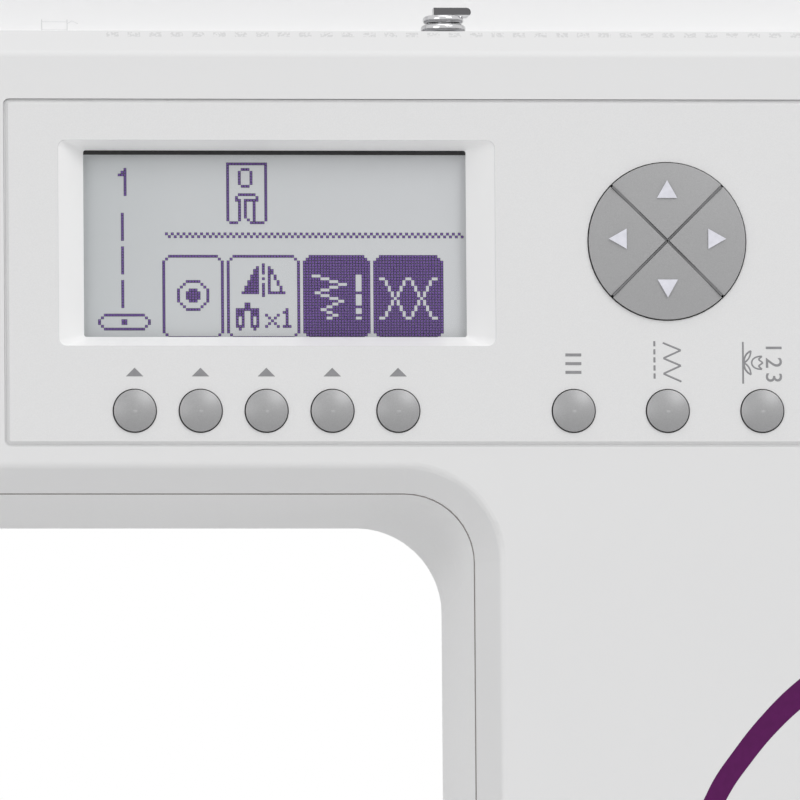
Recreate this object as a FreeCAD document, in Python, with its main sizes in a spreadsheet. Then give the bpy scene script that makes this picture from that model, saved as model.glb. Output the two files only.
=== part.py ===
import FreeCAD, Part
import Sketcher
import math
import os

Vector = FreeCAD.Vector
Rotation = FreeCAD.Rotation

# ---------------------------------------------------------------------------
# Driving sizes, in millimetres. The frame has +X to the right, +Y to the back
# and +Z up, with its origin under the middle of the machine.
# ---------------------------------------------------------------------------
SIZES = {
    # housing, seen from the front
    "body_left": -222.0,
    "body_right": 198.0,
    "arm_bottom": 190.0,
    "arm_height": 93.0,
    "head_right": -114.0,
    "head_bottom": 134.0,
    "column_left": 56.0,
    "throat_radius": 14.0,
    "throat_back_radius": 17.8,
    "head_inner_radius": 10.0,
    "head_radius": 10.0,
    "top_left_radius": 16.0,
    "top_right_radius": 12.0,
    # housing, seen from the side
    "arm_front": -32.0,
    "arm_back": 63.0,
    "edge_chamfer": 5.0,
    "edge_softening": 2.0,
    "back_radius": 10.0,
    "seam": 0.3,
    "front_depth": 5.5,
    "front_wall": 3.0,
    "rear_wall": 3.0,
    "rim_width": 6.0,
    # base, bed and free arm
    "bed_front": -82.0,
    "bed_back": 70.0,
    "bed_top": 72.0,
    "bed_corner": 12.0,
    "bed_edge": 2.5,
    "base_wall": 2.5,
    "base_roof": 3.0,
    "pan_bottom": 4.0,
    "pan_floor": 2.5,
    "pan_rim": 9.0,
    "foot_radius": 8.0,
    "foot_inset": 17.0,
    "foot_sink": 1.5,
    "free_arm_left": -186.0,
    "free_arm_front": -27.0,
    "free_arm_back": 54.0,
    "free_arm_bottom": 20.0,
    "free_arm_roof": 4.0,
    "free_arm_edge": 3.0,
    # accessory box around the free arm
    "box_play": 0.7,
    "box_lift": 0.6,
    "box_wall": 4.0,
    "box_floor": 3.0,
    "box_back": 66.0,
    "flap_wall": 2.7,
    "flap_gap": 0.3,
    "flap_left": -207.0,
    "flap_axis_height": 5.0,
    "flap_axis_depth": 1.4,
    "flap_pin_radius": 1.5,
    "pin_play": 0.06,
    # control panel on the front of the arm
    "panel_left": -38.0,
    "panel_right": 186.0,
    "panel_over_arm": 9.4,
    "panel_height": 69.0,
    "panel_corner": 0.8,
    "panel_gap": 0.4,
    "panel_shoulder": 0.7,
    "panel_thick": 3.1,
    "panel_flange": 3.0,
    "panel_flange_thick": 1.5,
    "panel_bevel": 0.6,
    "display_left": -22.1,
    "display_right": 54.7,
    "display_over_panel": 22.0,
    "display_height": 37.5,
    "bezel_side": 5.5,
    "bezel_rise": 2.3,
    "bezel_top_rise": 1.6,
    "bezel_depth": 5.0,
    "bezel_corner": 1.6,
    "lens_margin": 1.8,
    "lens_thick": 1.5,
    "module_margin": 3.6,
    "module_thick": 2.5,
    "part_gap": 0.1,
    "board_thick": 1.6,
    "switch_height": 1.6,
    "switch_width": 6.0,
    # push keys of the panel
    "key_radius": 4.2,
    "key_play": 0.25,
    "key_travel": 0.8,
    "key_rise": 0.5,
    "key_crown": 0.9,
    "key_lip": 1.0,
    "key_lip_thick": 1.0,
    "key_stem_radius": 1.5,
    "soft_key_first": -12.4,
    "soft_key_step": 13.2,
    "key_row_rise": 6.7,
    "menu_key_place": 75.6,
    "stitch_key_place": 94.5,
    "letter_key_place": 113.5,
    "pad_place": 94.6,
    "pad_rise_over_keys": 34.1,
    "pad_radius": 15.75,
    "pad_rise": 0.6,
    "pad_crown": 0.8,
    "pad_groove": 0.4,
    "pad_stem_place": 10.0,
    # controls on the head and the arm
    "head_button_radius": 5.5,
    "head_button_rise": 18.0,
    "start_button_place": -203.0,
    "reverse_button_place": -186.0,
    "needle_button_place": -150.0,
    "slider_place": -86.0,
    "slider_over_arm": 17.0,
    "slider_travel": 12.0,
    "slider_width": 10.0,
    "slider_slot": 4.0,
    "dial_place": -204.0,
    "dial_width": 7.0,
    "dial_radius": 14.5,
    "dial_stand": 2.5,
    "dial_over_shaft": 10.0,
    "dial_pin_radius": 2.0,
    # shafts
    "needle_place": -150.0,
    "shaft_depth": 17.0,
    "shaft_over_arm": 46.0,
    "main_shaft_radius": 6.0,
    "lower_shaft_height": 37.0,
    "lower_shaft_radius": 4.0,
    "bush_wall": 3.0,
    "running_gap": 0.05,
    "lug_width": 10.0,
    "lug_wall": 5.0,
    "main_lug_left": -119.0,
    "main_lug_middle": 128.0,
    "main_lug_right": 183.0,
    "lower_lug_left": -131.0,
    "lower_lug_right": 66.0,
    "crank_throw": 16.5,
    "crank_radius": 20.0,
    "crank_face": -134.0,
    "crank_width": 8.0,
    "crank_pin_radius": 3.0,
    "crank_pin_length": 4.0,
    "timing_pulley_radius": 12.0,
    "timing_pulley_place": 80.0,
    "drive_pulley_radius": 19.0,
    "motor_pulley_radius": 7.0,
    "drive_pulley_place": 163.0,
    "pulley_width": 8.0,
    "belt_thick": 2.0,
    "belt_gap": 0.3,
    # casting
    "web_front": 40.0,
    "web_thick": 5.0,
    "web_over_shaft": 11.0,
    "web_bottom": 24.0,
    "web_inset": 4.0,
    # handwheel and motor
    "wheel_radius": 30.0,
    "wheel_right": 222.0,
    "wheel_gap": 1.0,
    "wheel_grip": 14.0,
    "wheel_hole_play": 2.0,
    "wheel_hub_radius": 8.0,
    "wheel_rib_radius": 1.4,
    "wheel_rib_count": 36,
    "motor_radius": 24.0,
    "motor_face_gap": 7.0,
    "motor_length": 60.0,
    "motor_depth": 10.0,
    "motor_height": 114.0,
    "motor_shaft_radius": 3.0,
    # needle bar, presser bar and take-up lever
    "needle_bar_radius": 3.5,
    "needle_carrier_drop": 14.0,
    "clamp_screw_length": 13.0,
    "needle_carrier_height": 12.0,
    "needle_bar_over_bed": 45.0,
    "needle_bar_below_shaft": 4.0,
    "needle_radius": 0.8,
    "needle_tip_over_bed": 12.0,
    "presser_depth": 31.0,
    "presser_bar_radius": 3.0,
    "presser_bar_over_bed": 27.0,
    "presser_bar_over_guide": 28.0,
    "presser_lift": 6.0,
    "foot_clearance": 1.2,
    "guide_over_head": 6.0,
    "guide_spread": 32.0,
    "guide_thick": 10.0,
    "spring_radius": 5.0,
    "spring_wire": 1.2,
    "collar_radius": 6.4,
    "collar_below_guide": 14.0,
    "collar_thick": 6.0,
    "take_up_place": -168.0,
    "take_up_thick": 3.0,
    "take_up_below_shaft": 14.0,
    "take_up_reach": 58.0,
    "take_up_tilt": 30.0,
    "take_up_pin_radius": 3.0,
    "lifter_place": -140.0,
    "lifter_over_head": 12.0,
    "lifter_gap": 2.5,
    "lifter_thick": 4.0,
    "lifter_length": 34.0,
    "lifter_tilt": 35.0,
    # needle plate, feed and hook
    "plate_left": -184.0,
    "plate_right": -116.0,
    "plate_front": -22.0,
    "plate_back": 46.0,
    "plate_thick": 2.0,
    "plate_corner": 3.0,
    "plate_ledge": 3.0,
    "plate_play": 0.2,
    "cover_half_width": 15.0,
    "cover_front": -18.5,
    "cover_back": 10.8,
    "hook_radius": 15.5,
    "hook_bottom": 46.0,
    "hook_top": 63.0,
    "hook_wall": 1.5,
    "hook_shaft_radius": 3.0,
    "hook_gear_radius": 7.0,
    "lower_gear_radius": 9.0,
    "gear_gap": 1.3,
    "gear_width": 8.0,
    "bobbin_radius": 10.2,
    "bobbin_height": 11.5,
    "case_play": 0.4,
    "feed_half_width": 8.0,
    "feed_tooth_width": 2.6,
    "feed_front": 9.0,
    "feed_back": 32.0,
    "feed_tooth_rise": 0.9,
    # parts on the deck under the lid
    "deck_over_shaft": 26.0,
    "deck_thick": 2.5,
    "deck_play": 0.4,
    "tray_left": -72.0,
    "tray_right": 74.0,
    "tray_front": 2.0,
    "tray_back": 50.0,
    "tray_deep": 11.0,
    "tray_wall": 2.0,
    "stud_place": 52.0,
    "stud_depth": -8.0,
    "stud_radius": 4.5,
    "stud_post_radius": 2.2,
    "stud_rise": 26.1,
    "winder_place": 160.0,
    "winder_depth": 8.0,
    "winder_travel": 6.0,
    "winder_radius": 3.0,
    "winder_seat_radius": 8.5,
    "winder_rise": 24.0,
    "winder_stop_gap": 9.0,
    "winder_stop_offset": 12.0,
    "spool_depth": 27.0,
    "spool_pin_rise": 14.0,
    "spool_pin_radius": 2.5,
    "spool_pin_left": -56.0,
    "spool_pin_right": 12.0,
    "spool_cap_radius": 11.0,
    "spool_cap_inset": 14.0,
    "spool_cap_length": 10.0,
    "spool_neck_radius": 7.0,
    "spool_plate_radius": 9.5,
    "spool_post_reach": 9.0,
    # lid
    "lid_rise": 17.0,
    "lid_wall": 2.5,
    "lid_corner": 10.0,
    "lid_edge": 8.0,
    "lid_end_gap": 0.6,
    "lid_open": 95.0,
    "hinge_back": 2.0,
    "hinge_rise": 4.0,
    "hinge_spread": 120.0,
    "hinge_ear": 10.0,
    "hinge_cheek": 3.2,
    "hinge_pin_radius": 1.5,
    # electrical pieces
    "switch_place": 6.0,
    "switch_center": 100.0,
    "rocker_width": 12.0,
    "rocker_length": 18.0,
    "rocker_play": 0.8,
    "inlet_place": 20.0,
    "inlet_center": 40.0,
    "inlet_width": 24.0,
    "inlet_length": 18.0,
    "inlet_deep": 14.0,
    # screws
    "screw_radius": 1.75,
    "screw_head_radius": 3.5,
    "screw_head": 2.4,
    "boss_radius": 5.0,
    "screw_from_left": 26.0,
    "screw_from_right": 30.0,
    "screw_from_column": 24.0,
    "screw_along_arm": 150.0,
    "screw_below_web": 14.0,
    "screw_over_head": 20.0,
    "screw_over_bed": 22.0,
    "board_post_radius": 3.5,
    "board_post_rise": 7.5,
    "board_post_from_column": 22.0,
    "board_post_from_front": 16.0,
    "board_post_spread": 36.0,
}


# ---------------------------------------------------------------------------
# Sizes that carry the formula they come from, so that objects stay bound to
# the sheet
# ---------------------------------------------------------------------------
class Size:
    """A length with its value and the sheet formula that gives it."""

    def __init__(self, number, formula):
        self.number = number
        self.formula = formula

    def __add__(self, other):
        other = as_size(other)
        return Size(self.number + other.number, f"({self.formula} + {other.formula})")

    def __sub__(self, other):
        other = as_size(other)
        return Size(self.number - other.number, f"({self.formula} - {other.formula})")

    def __mul__(self, factor):
        factor = as_size(factor)
        return Size(self.number * factor.number, f"({self.formula} * {factor.formula})")

    def __truediv__(self, factor):
        factor = as_size(factor)
        return Size(self.number / factor.number, f"({self.formula} / {factor.formula})")

    def __radd__(self, other):
        return as_size(other) + self

    def __rsub__(self, other):
        return as_size(other) - self

    def __rmul__(self, factor):
        return as_size(factor) * self

    def __neg__(self):
        return Size(-self.number, f"(-{self.formula})")


def as_size(thing):
    if isinstance(thing, Size):
        return thing
    return Size(float(thing), f"({float(thing)})")


doc = FreeCAD.newDocument("sewing_machine")
sheet = doc.addObject("Spreadsheet::Sheet", "Sizes")
for row, (alias, number) in enumerate(SIZES.items(), start=1):
    sheet.set(f"A{row}", alias)
    sheet.set(f"B{row}", str(number))
    sheet.setAlias(f"B{row}", alias)
doc.recompute()


class Book:
    """Gives each size of the sheet by its name."""


s = Book()
for alias, number in SIZES.items():
    setattr(s, alias, Size(number, f"Sizes.{alias}"))

# ---------------------------------------------------------------------------
# Heights that follow from the driving sizes
# ---------------------------------------------------------------------------
s.arm_top = s.arm_bottom + s.arm_height
s.panel_bottom = s.arm_bottom + s.panel_over_arm
s.panel_top = s.panel_bottom + s.panel_height
s.display_bottom = s.panel_bottom + s.display_over_panel
s.display_top = s.display_bottom + s.display_height
s.key_row_height = s.panel_bottom + s.key_row_rise
s.pad_height = s.key_row_height + s.pad_rise_over_keys
s.head_button_height = s.head_bottom + s.head_button_rise
s.slider_height = s.arm_bottom + s.slider_over_arm
s.main_shaft_height = s.arm_bottom + s.shaft_over_arm
s.dial_height = s.main_shaft_height + s.dial_over_shaft
s.web_top = s.main_shaft_height + s.web_over_shaft
s.take_up_height = s.main_shaft_height - s.take_up_below_shaft
s.needle_bar_bottom = s.bed_top + s.needle_bar_over_bed
s.needle_bar_top = s.main_shaft_height - s.needle_bar_below_shaft
s.needle_tip = s.bed_top + s.needle_tip_over_bed
s.guide_low = s.head_bottom + s.guide_over_head
s.guide_high = s.guide_low + s.guide_spread
s.collar_height = s.guide_high - s.collar_below_guide
s.presser_bar_bottom = s.bed_top + s.presser_bar_over_bed
s.presser_bar_top = s.guide_high + s.presser_bar_over_guide
s.lifter_height = s.head_bottom + s.lifter_over_head
s.deck_height = s.main_shaft_height + s.deck_over_shaft
s.stud_top = s.deck_height + s.stud_rise
s.winder_top = s.deck_height + s.winder_rise
s.spool_pin_height = s.deck_height + s.spool_pin_rise

SUBPARTS = []
CUTS = []


# ---------------------------------------------------------------------------
# Part primitives
# ---------------------------------------------------------------------------
AXIS_TURN = {
    "x": Rotation(Vector(0, 1, 0), 90),
    "y": Rotation(Vector(1, 0, 0), -90),
    "z": Rotation(),
}


def tie(thing, name, size):
    """Bind one property of an object to its formula."""
    thing.setExpression(name, as_size(size).formula)


def place(thing, x, y, z):
    """Put an object's own origin at a point."""
    for name, value in zip("xyz", (x, y, z)):
        tie(thing, f"Placement.Base.{name}", value)
    return thing


def block(name, x, y, z):
    """A box between two planes along each axis."""
    box = doc.addObject("Part::Box", name)
    for side, (low, high) in zip(("Length", "Width", "Height"), (x, y, z)):
        tie(box, side, as_size(high) - low)
    return place(box, x[0], y[0], z[0])


def rod(name, axis, at, radius, span):
    """A cylinder along x, y or z; at is its place on the other two axes."""
    cylinder = doc.addObject("Part::Cylinder", name)
    cylinder.Placement = FreeCAD.Placement(Vector(), AXIS_TURN[axis])
    tie(cylinder, "Radius", radius)
    tie(cylinder, "Height", as_size(span[1]) - span[0])
    point = list(at)
    point.insert("xyz".index(axis), span[0])
    return place(cylinder, *point)


def cone(name, axis, at, radii, span):
    """A cone along x, y or z, from the first radius to the second."""
    piece = doc.addObject("Part::Cone", name)
    piece.Placement = FreeCAD.Placement(Vector(), AXIS_TURN[axis])
    tie(piece, "Radius1", radii[0])
    tie(piece, "Radius2", radii[1])
    tie(piece, "Height", as_size(span[1]) - span[0])
    point = list(at)
    point.insert("xyz".index(axis), span[0])
    return place(piece, *point)


def ball(name, centre, radius):
    """A sphere with its poles in front and at the back."""
    sphere = doc.addObject("Part::Sphere", name)
    sphere.Placement = FreeCAD.Placement(Vector(), AXIS_TURN["y"])
    tie(sphere, "Radius", radius)
    return place(sphere, *centre)


def join(name, *pieces):
    fused = doc.addObject("Part::MultiFuse", name)
    fused.Shapes = list(pieces)
    fused.Refine = True
    return fused


def carve(name, base, *tools):
    """Cut tools away from a base."""
    cut = doc.addObject("Part::Cut", name)
    cut.Base = base
    cut.Tool = tools[0] if len(tools) == 1 else join(f"{name}_tools", *tools)
    return cut


def overlap(name, first, second):
    common = doc.addObject("Part::Common", name)
    common.Base = first
    common.Tool = second
    return common


def group(name, *pieces):
    """Separate solids that share one node."""
    compound = doc.addObject("Part::Compound", name)
    compound.Links = list(pieces)
    return compound


def keep(thing, node):
    """Make an object a sub-part of the machine, with its node's name."""
    thing.Label = node
    SUBPARTS.append(thing)
    return thing


def all_edges(edge):
    return True


def soften(name, base, radius, test=all_edges):
    """Round the edges of a Part object that pass a test on their box."""
    doc.recompute()
    rounded = doc.addObject("Part::Fillet", name)
    rounded.Base = base
    size = as_size(radius).number
    edges = base.Shape.Edges
    rounded.Edges = [(i, size, size) for i, edge in enumerate(edges, start=1) if test(edge.BoundBox)]
    return rounded


# ---------------------------------------------------------------------------
# PartDesign bodies
# ---------------------------------------------------------------------------
PLANES = {"top": "XY_Plane", "front": "XZ_Plane", "side": "YZ_Plane"}


def new_body(name):
    return doc.addObject("PartDesign::Body", name)


def rectangle(x, y, radius=0):
    """Corners of a rectangle, each as its two places and its radius."""
    return [(x[0], y[0], radius), (x[1], y[0], radius), (x[1], y[1], radius), (x[0], y[1], radius)]


def circle(x, y, radius):
    return (x, y, radius)


def constrain(sketch, *words, size=None):
    """Add one constraint, bound to a size where it has one."""
    if size is None:
        sketch.addConstraint(Sketcher.Constraint(*words))
        return
    size = as_size(size)
    index = sketch.addConstraint(Sketcher.Constraint(*words, size.number))
    sketch.setExpression(f"Constraints[{index}]", size.formula)


def pin_point(sketch, element, point, x, y):
    constrain(sketch, "DistanceX", -1, 1, element, point, size=x)
    constrain(sketch, "DistanceY", -1, 1, element, point, size=y)


def draw_circle(sketch, x, y, radius):
    x, y, radius = as_size(x), as_size(y), as_size(radius)
    centre = Vector(x.number, y.number, 0)
    element = sketch.addGeometry(Part.Circle(centre, Vector(0, 0, 1), radius.number), False)
    pin_point(sketch, element, 3, x, y)
    constrain(sketch, "Radius", element, size=radius)


def corner_arc(before, corner, after, radius):
    """The arc that rounds a corner, with the points where it leaves the lines."""
    first = (before - corner).normalize()
    second = (after - corner).normalize()
    half = first.getAngle(second) / 2
    start = corner + first * (radius / math.tan(half))
    end = corner + second * (radius / math.tan(half))
    middle_way = (first + second).normalize()
    centre = corner + middle_way * (radius / math.sin(half))
    middle = centre - middle_way * radius
    return start, middle, end


def draw_outline(sketch, corners):
    """A closed outline of lines, with an arc at each corner that has a radius."""
    corners = [tuple(as_size(number) for number in corner) for corner in corners]
    points = [Vector(x.number, y.number, 0) for x, y, radius in corners]
    count = len(points)
    leaving, arriving, arcs = [], [], []
    for i, (x, y, radius) in enumerate(corners):
        before, after = points[i - 1], points[(i + 1) % count]
        if radius.number > 0:
            start, middle, end = corner_arc(before, points[i], after, radius.number)
            arcs.append((start, middle, end))
        else:
            start = end = points[i]
            arcs.append(None)
        arriving.append(start)
        leaving.append(end)
    lines = []
    for i in range(count):
        line = Part.LineSegment(leaving[i], arriving[(i + 1) % count])
        lines.append(sketch.addGeometry(line, False))
    for i, (x, y, radius) in enumerate(corners):
        mark = sketch.addGeometry(Part.Point(points[i]), True)
        pin_point(sketch, mark, 1, x, y)
        into, out = lines[i - 1], lines[i]
        if arcs[i] is None:
            constrain(sketch, "Coincident", into, 2, mark, 1)
            constrain(sketch, "Coincident", out, 1, mark, 1)
            continue
        constrain(sketch, "PointOnObject", mark, 1, into)
        constrain(sketch, "PointOnObject", mark, 1, out)
        shape = Part.Arc(*arcs[i])
        bend = sketch.addGeometry(shape, False)
        # an arc runs anticlockwise in a sketch, so its ends may change places
        begins = sketch.getPoint(bend, 1).distanceToPoint(arcs[i][0]) < 1e-6
        first, last = (1, 2) if begins else (2, 1)
        constrain(sketch, "Tangent", into, 2, bend, first)
        constrain(sketch, "Tangent", bend, last, out, 1)
        constrain(sketch, "Radius", bend, size=radius)


def draw(body, name, view, level, loops):
    """A sketch on a plane seen from the top, front or side, moved to a level."""
    sketch = body.newObject("Sketcher::SketchObject", f"{name}_sketch")
    plane = [f for f in body.Origin.OriginFeatures if f.Role == PLANES[view]][0]
    sketch.AttachmentSupport = [(plane, "")]
    sketch.MapMode = "FlatFace"
    level = as_size(level)
    tie(sketch, "AttachmentOffset.Base.z", -level if view == "front" else level)
    for loop in loops:
        if isinstance(loop, tuple):
            draw_circle(sketch, *loop)
        else:
            draw_outline(sketch, loop)
    return sketch


def pad(body, name, view, span, *loops):
    """Add material between two levels."""
    feature = body.newObject("PartDesign::Pad", name)
    feature.Profile = draw(body, name, view, span[0], loops)
    feature.Reversed = view == "front"
    tie(feature, "Length", as_size(span[1]) - span[0])
    return feature


def pocket(body, name, view, span, *loops):
    """Take material away between two levels."""
    before = body.Tip
    feature = body.newObject("PartDesign::Pocket", name)
    feature.Profile = draw(body, name, view, span[0], loops)
    feature.Reversed = view != "front"
    tie(feature, "Length", as_size(span[1]) - span[0])
    CUTS.append((before, feature))
    return feature


def edge_names(feature, test):
    return [f"Edge{i}" for i, edge in enumerate(feature.Shape.Edges, start=1) if test(edge.BoundBox)]


def round_edges(body, name, radius, test):
    doc.recompute()
    base = body.Tip
    feature = body.newObject("PartDesign::Fillet", name)
    feature.Base = (base, edge_names(base, test))
    tie(feature, "Radius", radius)
    return feature


def bevel_edges(body, name, size, test):
    doc.recompute()
    base = body.Tip
    feature = body.newObject("PartDesign::Chamfer", name)
    feature.Base = (base, edge_names(base, test))
    tie(feature, "Size", size)
    return feature


def near(value, target):
    return abs(value - as_size(target).number) < 0.02


def flat_at(low, high, target):
    """Whether an edge's box lies in one plane at a level."""
    return near(low, target) and near(high, target)


# ---------------------------------------------------------------------------
# Places that several sub-parts share
# ---------------------------------------------------------------------------
column_foot = s.bed_top + s.seam
cover_seam = s.arm_front + s.front_depth
rear_front = cover_seam + s.seam
panel_back = s.arm_front + s.panel_thick
lens_front = s.arm_front + s.bezel_depth + s.part_gap * 4
module_front = lens_front + s.lens_thick + s.part_gap
board_front = module_front + s.module_thick + s.seam
switch_front = board_front - s.switch_height
web_back = s.web_front + s.web_thick
lifter_front = web_back + s.lifter_gap
lifter_back = lifter_front + s.lifter_thick
motor_right = s.drive_pulley_place - s.pulley_width / 2 - s.motor_face_gap
hinge_y = s.arm_back - s.hinge_back
hinge_z = s.arm_top + s.hinge_rise
hook_y = s.shaft_depth - s.hook_gear_radius - s.lower_gear_radius - s.gear_gap
lid_left = s.body_left + s.top_left_radius + s.lid_end_gap
lid_right = s.body_right - s.top_right_radius - s.lid_end_gap
column_right_wall = s.body_right - s.rear_wall

screw_left = s.body_left + s.screw_from_left
screw_right = s.body_right - s.screw_from_right
screw_column = s.column_left + s.screw_from_column
screw_high = s.web_top - s.screw_below_web
screw_low = s.bed_top + s.screw_over_bed

SCREW_PLACES = [
    (screw_left, s.head_bottom + s.screw_over_head),
    (screw_left, screw_high),
    (s.body_left + s.screw_along_arm, screw_high),
    (screw_column, screw_high),
    (screw_right, screw_high),
    (screw_column, screw_low),
    (screw_right, screw_low),
]


def housing_outline(inset, bottom, sharp=False):
    """The C of head, arm and column seen from the front, moved inwards by inset."""

    def bend(radius):
        return 0 if sharp else radius - inset

    left, right = s.body_left + inset, s.body_right - inset
    head_right, head_bottom = s.head_right - inset, s.head_bottom + inset
    column_left, arm_bottom = s.column_left + inset, s.arm_bottom + inset
    top = s.arm_top - inset
    return [
        (column_left, bottom, 0),
        (column_left, arm_bottom, s.throat_radius + inset),
        (head_right, arm_bottom, s.head_inner_radius + inset),
        (head_right, head_bottom, bend(s.head_radius)),
        (left, head_bottom, bend(s.head_radius)),
        (left, top, bend(s.top_left_radius)),
        (right, top, bend(s.top_right_radius)),
        (right, bottom, 0),
    ]


def throat_corner(radius):
    """A thin angle along the underside of the arm and the column, rounded between them."""
    leg, thick = s.throat_back_radius + 2, s.rear_wall / 2
    x, z = s.column_left, s.arm_bottom
    return [
        (x, z, radius),
        (x, z - leg, 0),
        (x + thick, z - leg, 0),
        (x + thick, z + thick, 0),
        (x - leg, z + thick, 0),
        (x - leg, z, 0),
    ]


# ---------------------------------------------------------------------------
# Housing
# ---------------------------------------------------------------------------
def make_front_cover():
    """The one-piece front shell of head, arm and column, with its openings."""
    body = new_body("front_cover_body")
    front, back = s.arm_front, cover_seam
    pad(body, "front_cover_plate", "front", (front, back), housing_outline(0, column_foot))

    def front_rim(box):
        on_foot = box.ZMax < column_foot.number + 0.02
        return flat_at(box.YMin, box.YMax, front) and not on_foot

    bevel_edges(body, "front_cover_chamfer", s.edge_chamfer, front_rim)
    round_edges(body, "front_cover_softening", s.edge_softening, front_rim)
    inside = housing_outline(s.rim_width, column_foot + s.rim_width)
    pocket(body, "front_cover_recess", "front", (front + s.front_wall, back + 1), inside)
    gap = s.panel_gap
    window = rectangle(
        (s.panel_left - gap, s.panel_right + gap),
        (s.panel_bottom - gap, s.panel_top + gap),
        s.panel_corner + gap,
    )
    pocket(body, "front_cover_window", "front", (front - 1, back + 1), window)
    play = s.key_play
    button = s.head_button_radius + play
    row = s.head_button_height
    take_up = s.take_up_place
    half_slot = s.take_up_thick / 2 + 1.5
    knob_half = s.slider_width / 2 + s.slider_travel
    dial_half = s.dial_radius - s.dial_stand + 0.3
    openings = [
        circle(s.start_button_place, row, button),
        circle(s.reverse_button_place, row, button),
        circle(s.needle_button_place, row, button),
        rectangle((take_up - half_slot, take_up + half_slot), (row + 14, s.deck_height - 2), 1.5),
        rectangle((take_up - 24 + 2, take_up - 24 + 6), (row + 14, s.deck_height - 2), 1.5),
        rectangle(
            (s.dial_place - s.dial_width / 2 - 0.6, s.dial_place + s.dial_width / 2 + 0.6),
            (s.dial_height - dial_half, s.dial_height + dial_half),
            1.0,
        ),
        rectangle(
            (s.slider_place - knob_half, s.slider_place + knob_half),
            (s.slider_height - s.slider_slot / 2, s.slider_height + s.slider_slot / 2),
            1.0,
        ),
    ]
    pocket(body, "front_cover_openings", "front", (front - 1, back + 1), *openings)
    return keep(body, "front_cover")


def make_rear_cover():
    """The deep shell behind the seam: back, sides and underside of the arm."""
    body = new_body("rear_cover_body")
    back = s.arm_back
    pad(body, "rear_cover_shell", "front", (rear_front, back), housing_outline(0, column_foot))
    corner = body.newObject("PartDesign::AdditiveLoft", "rear_cover_corner")
    front_corner = throat_corner(s.throat_radius + s.seam)
    corner.Profile = draw(body, "corner_front", "front", rear_front, [front_corner])
    corner.Sections = [draw(body, "corner_back", "front", back, [throat_corner(s.throat_back_radius)])]
    corner.Ruled = True

    def back_rim(box):
        on_foot = box.ZMax < column_foot.number + 0.02
        return flat_at(box.YMin, box.YMax, back) and not on_foot

    round_edges(body, "rear_cover_rounding", s.back_radius, back_rim)
    wall, deep = s.rear_wall, s.back_radius
    below = column_foot - 1
    pocket(body, "rear_cover_hollow", "front", (rear_front - 1, back - deep),
           housing_outline(wall, below))
    pocket(body, "rear_cover_back_hollow", "front", (back - deep - 0.01, back - wall),
           housing_outline(deep, column_foot + deep, sharp=True))
    lid_hole = rectangle(
        (s.body_left + s.top_left_radius, s.body_right - s.top_right_radius),
        (rear_front - 1, back - deep - 0.01),
    )
    pocket(body, "rear_cover_top_opening", "top", (s.arm_top - 20, s.arm_top + 1), lid_hole)
    bosses = [circle(x, z, s.boss_radius) for x, z in SCREW_PLACES]
    pad(body, "rear_cover_bosses", "front", (web_back + s.seam, back - wall + 0.5), *bosses)
    holes = [circle(x, z, s.screw_radius + 0.35) for x, z in SCREW_PLACES]
    pocket(body, "rear_cover_screw_holes", "front", (web_back, back + 1), *holes)
    sinks = [circle(x, z, s.screw_head_radius + 0.5) for x, z in SCREW_PLACES]
    pocket(body, "rear_cover_screw_sinks", "front", (back - s.screw_head - 1, back + 1), *sinks)
    bars_x = (s.needle_place - 24, s.needle_place + 20)
    bars = rectangle(bars_x, (s.shaft_depth - 12, s.presser_depth + 10), 3)
    lamp = rectangle((s.body_left + 24, s.body_left + 36), (s.shaft_depth - 9, s.shaft_depth + 7))
    lifter = rectangle(
        (s.lifter_place - 9, s.head_right - wall - 1),
        (lifter_front - 1, lifter_back + 1),
    )
    pocket(body, "rear_cover_head_openings", "top", (s.head_bottom - 1, s.head_bottom + wall + 1),
           bars, lamp, lifter)
    shaft_hole = circle(s.shaft_depth, s.main_shaft_height, s.wheel_hub_radius + s.wheel_hole_play)
    half_w, half_l = s.rocker_width / 2 + s.rocker_play, s.rocker_length / 2 + s.rocker_play
    switch_hole = rectangle(
        (s.switch_place - half_w, s.switch_place + half_w),
        (s.switch_center - half_l, s.switch_center + half_l),
        1,
    )
    pocket(body, "rear_cover_side_openings", "side", (column_right_wall - 1, s.body_right + 1),
           shaft_hole, switch_hole)
    ears = [
        rectangle((side * s.hinge_spread - s.hinge_ear / 2, side * s.hinge_spread + s.hinge_ear / 2),
                  (hinge_y - 3, hinge_y + 1.5))
        for side in (-1, 1)
    ]
    pad(body, "rear_cover_ears", "top", (s.arm_top - 6, hinge_z + 3), *ears)
    reach = s.hinge_ear / 2 + s.hinge_cheek
    for side, word in ((-1, "left"), (1, "right")):
        middle = side * s.hinge_spread
        pad(body, f"rear_cover_{word}_pin", "side", (middle - reach, middle + reach),
            circle(hinge_y, hinge_z, s.hinge_pin_radius))
    return keep(body, "rear_cover")


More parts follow.
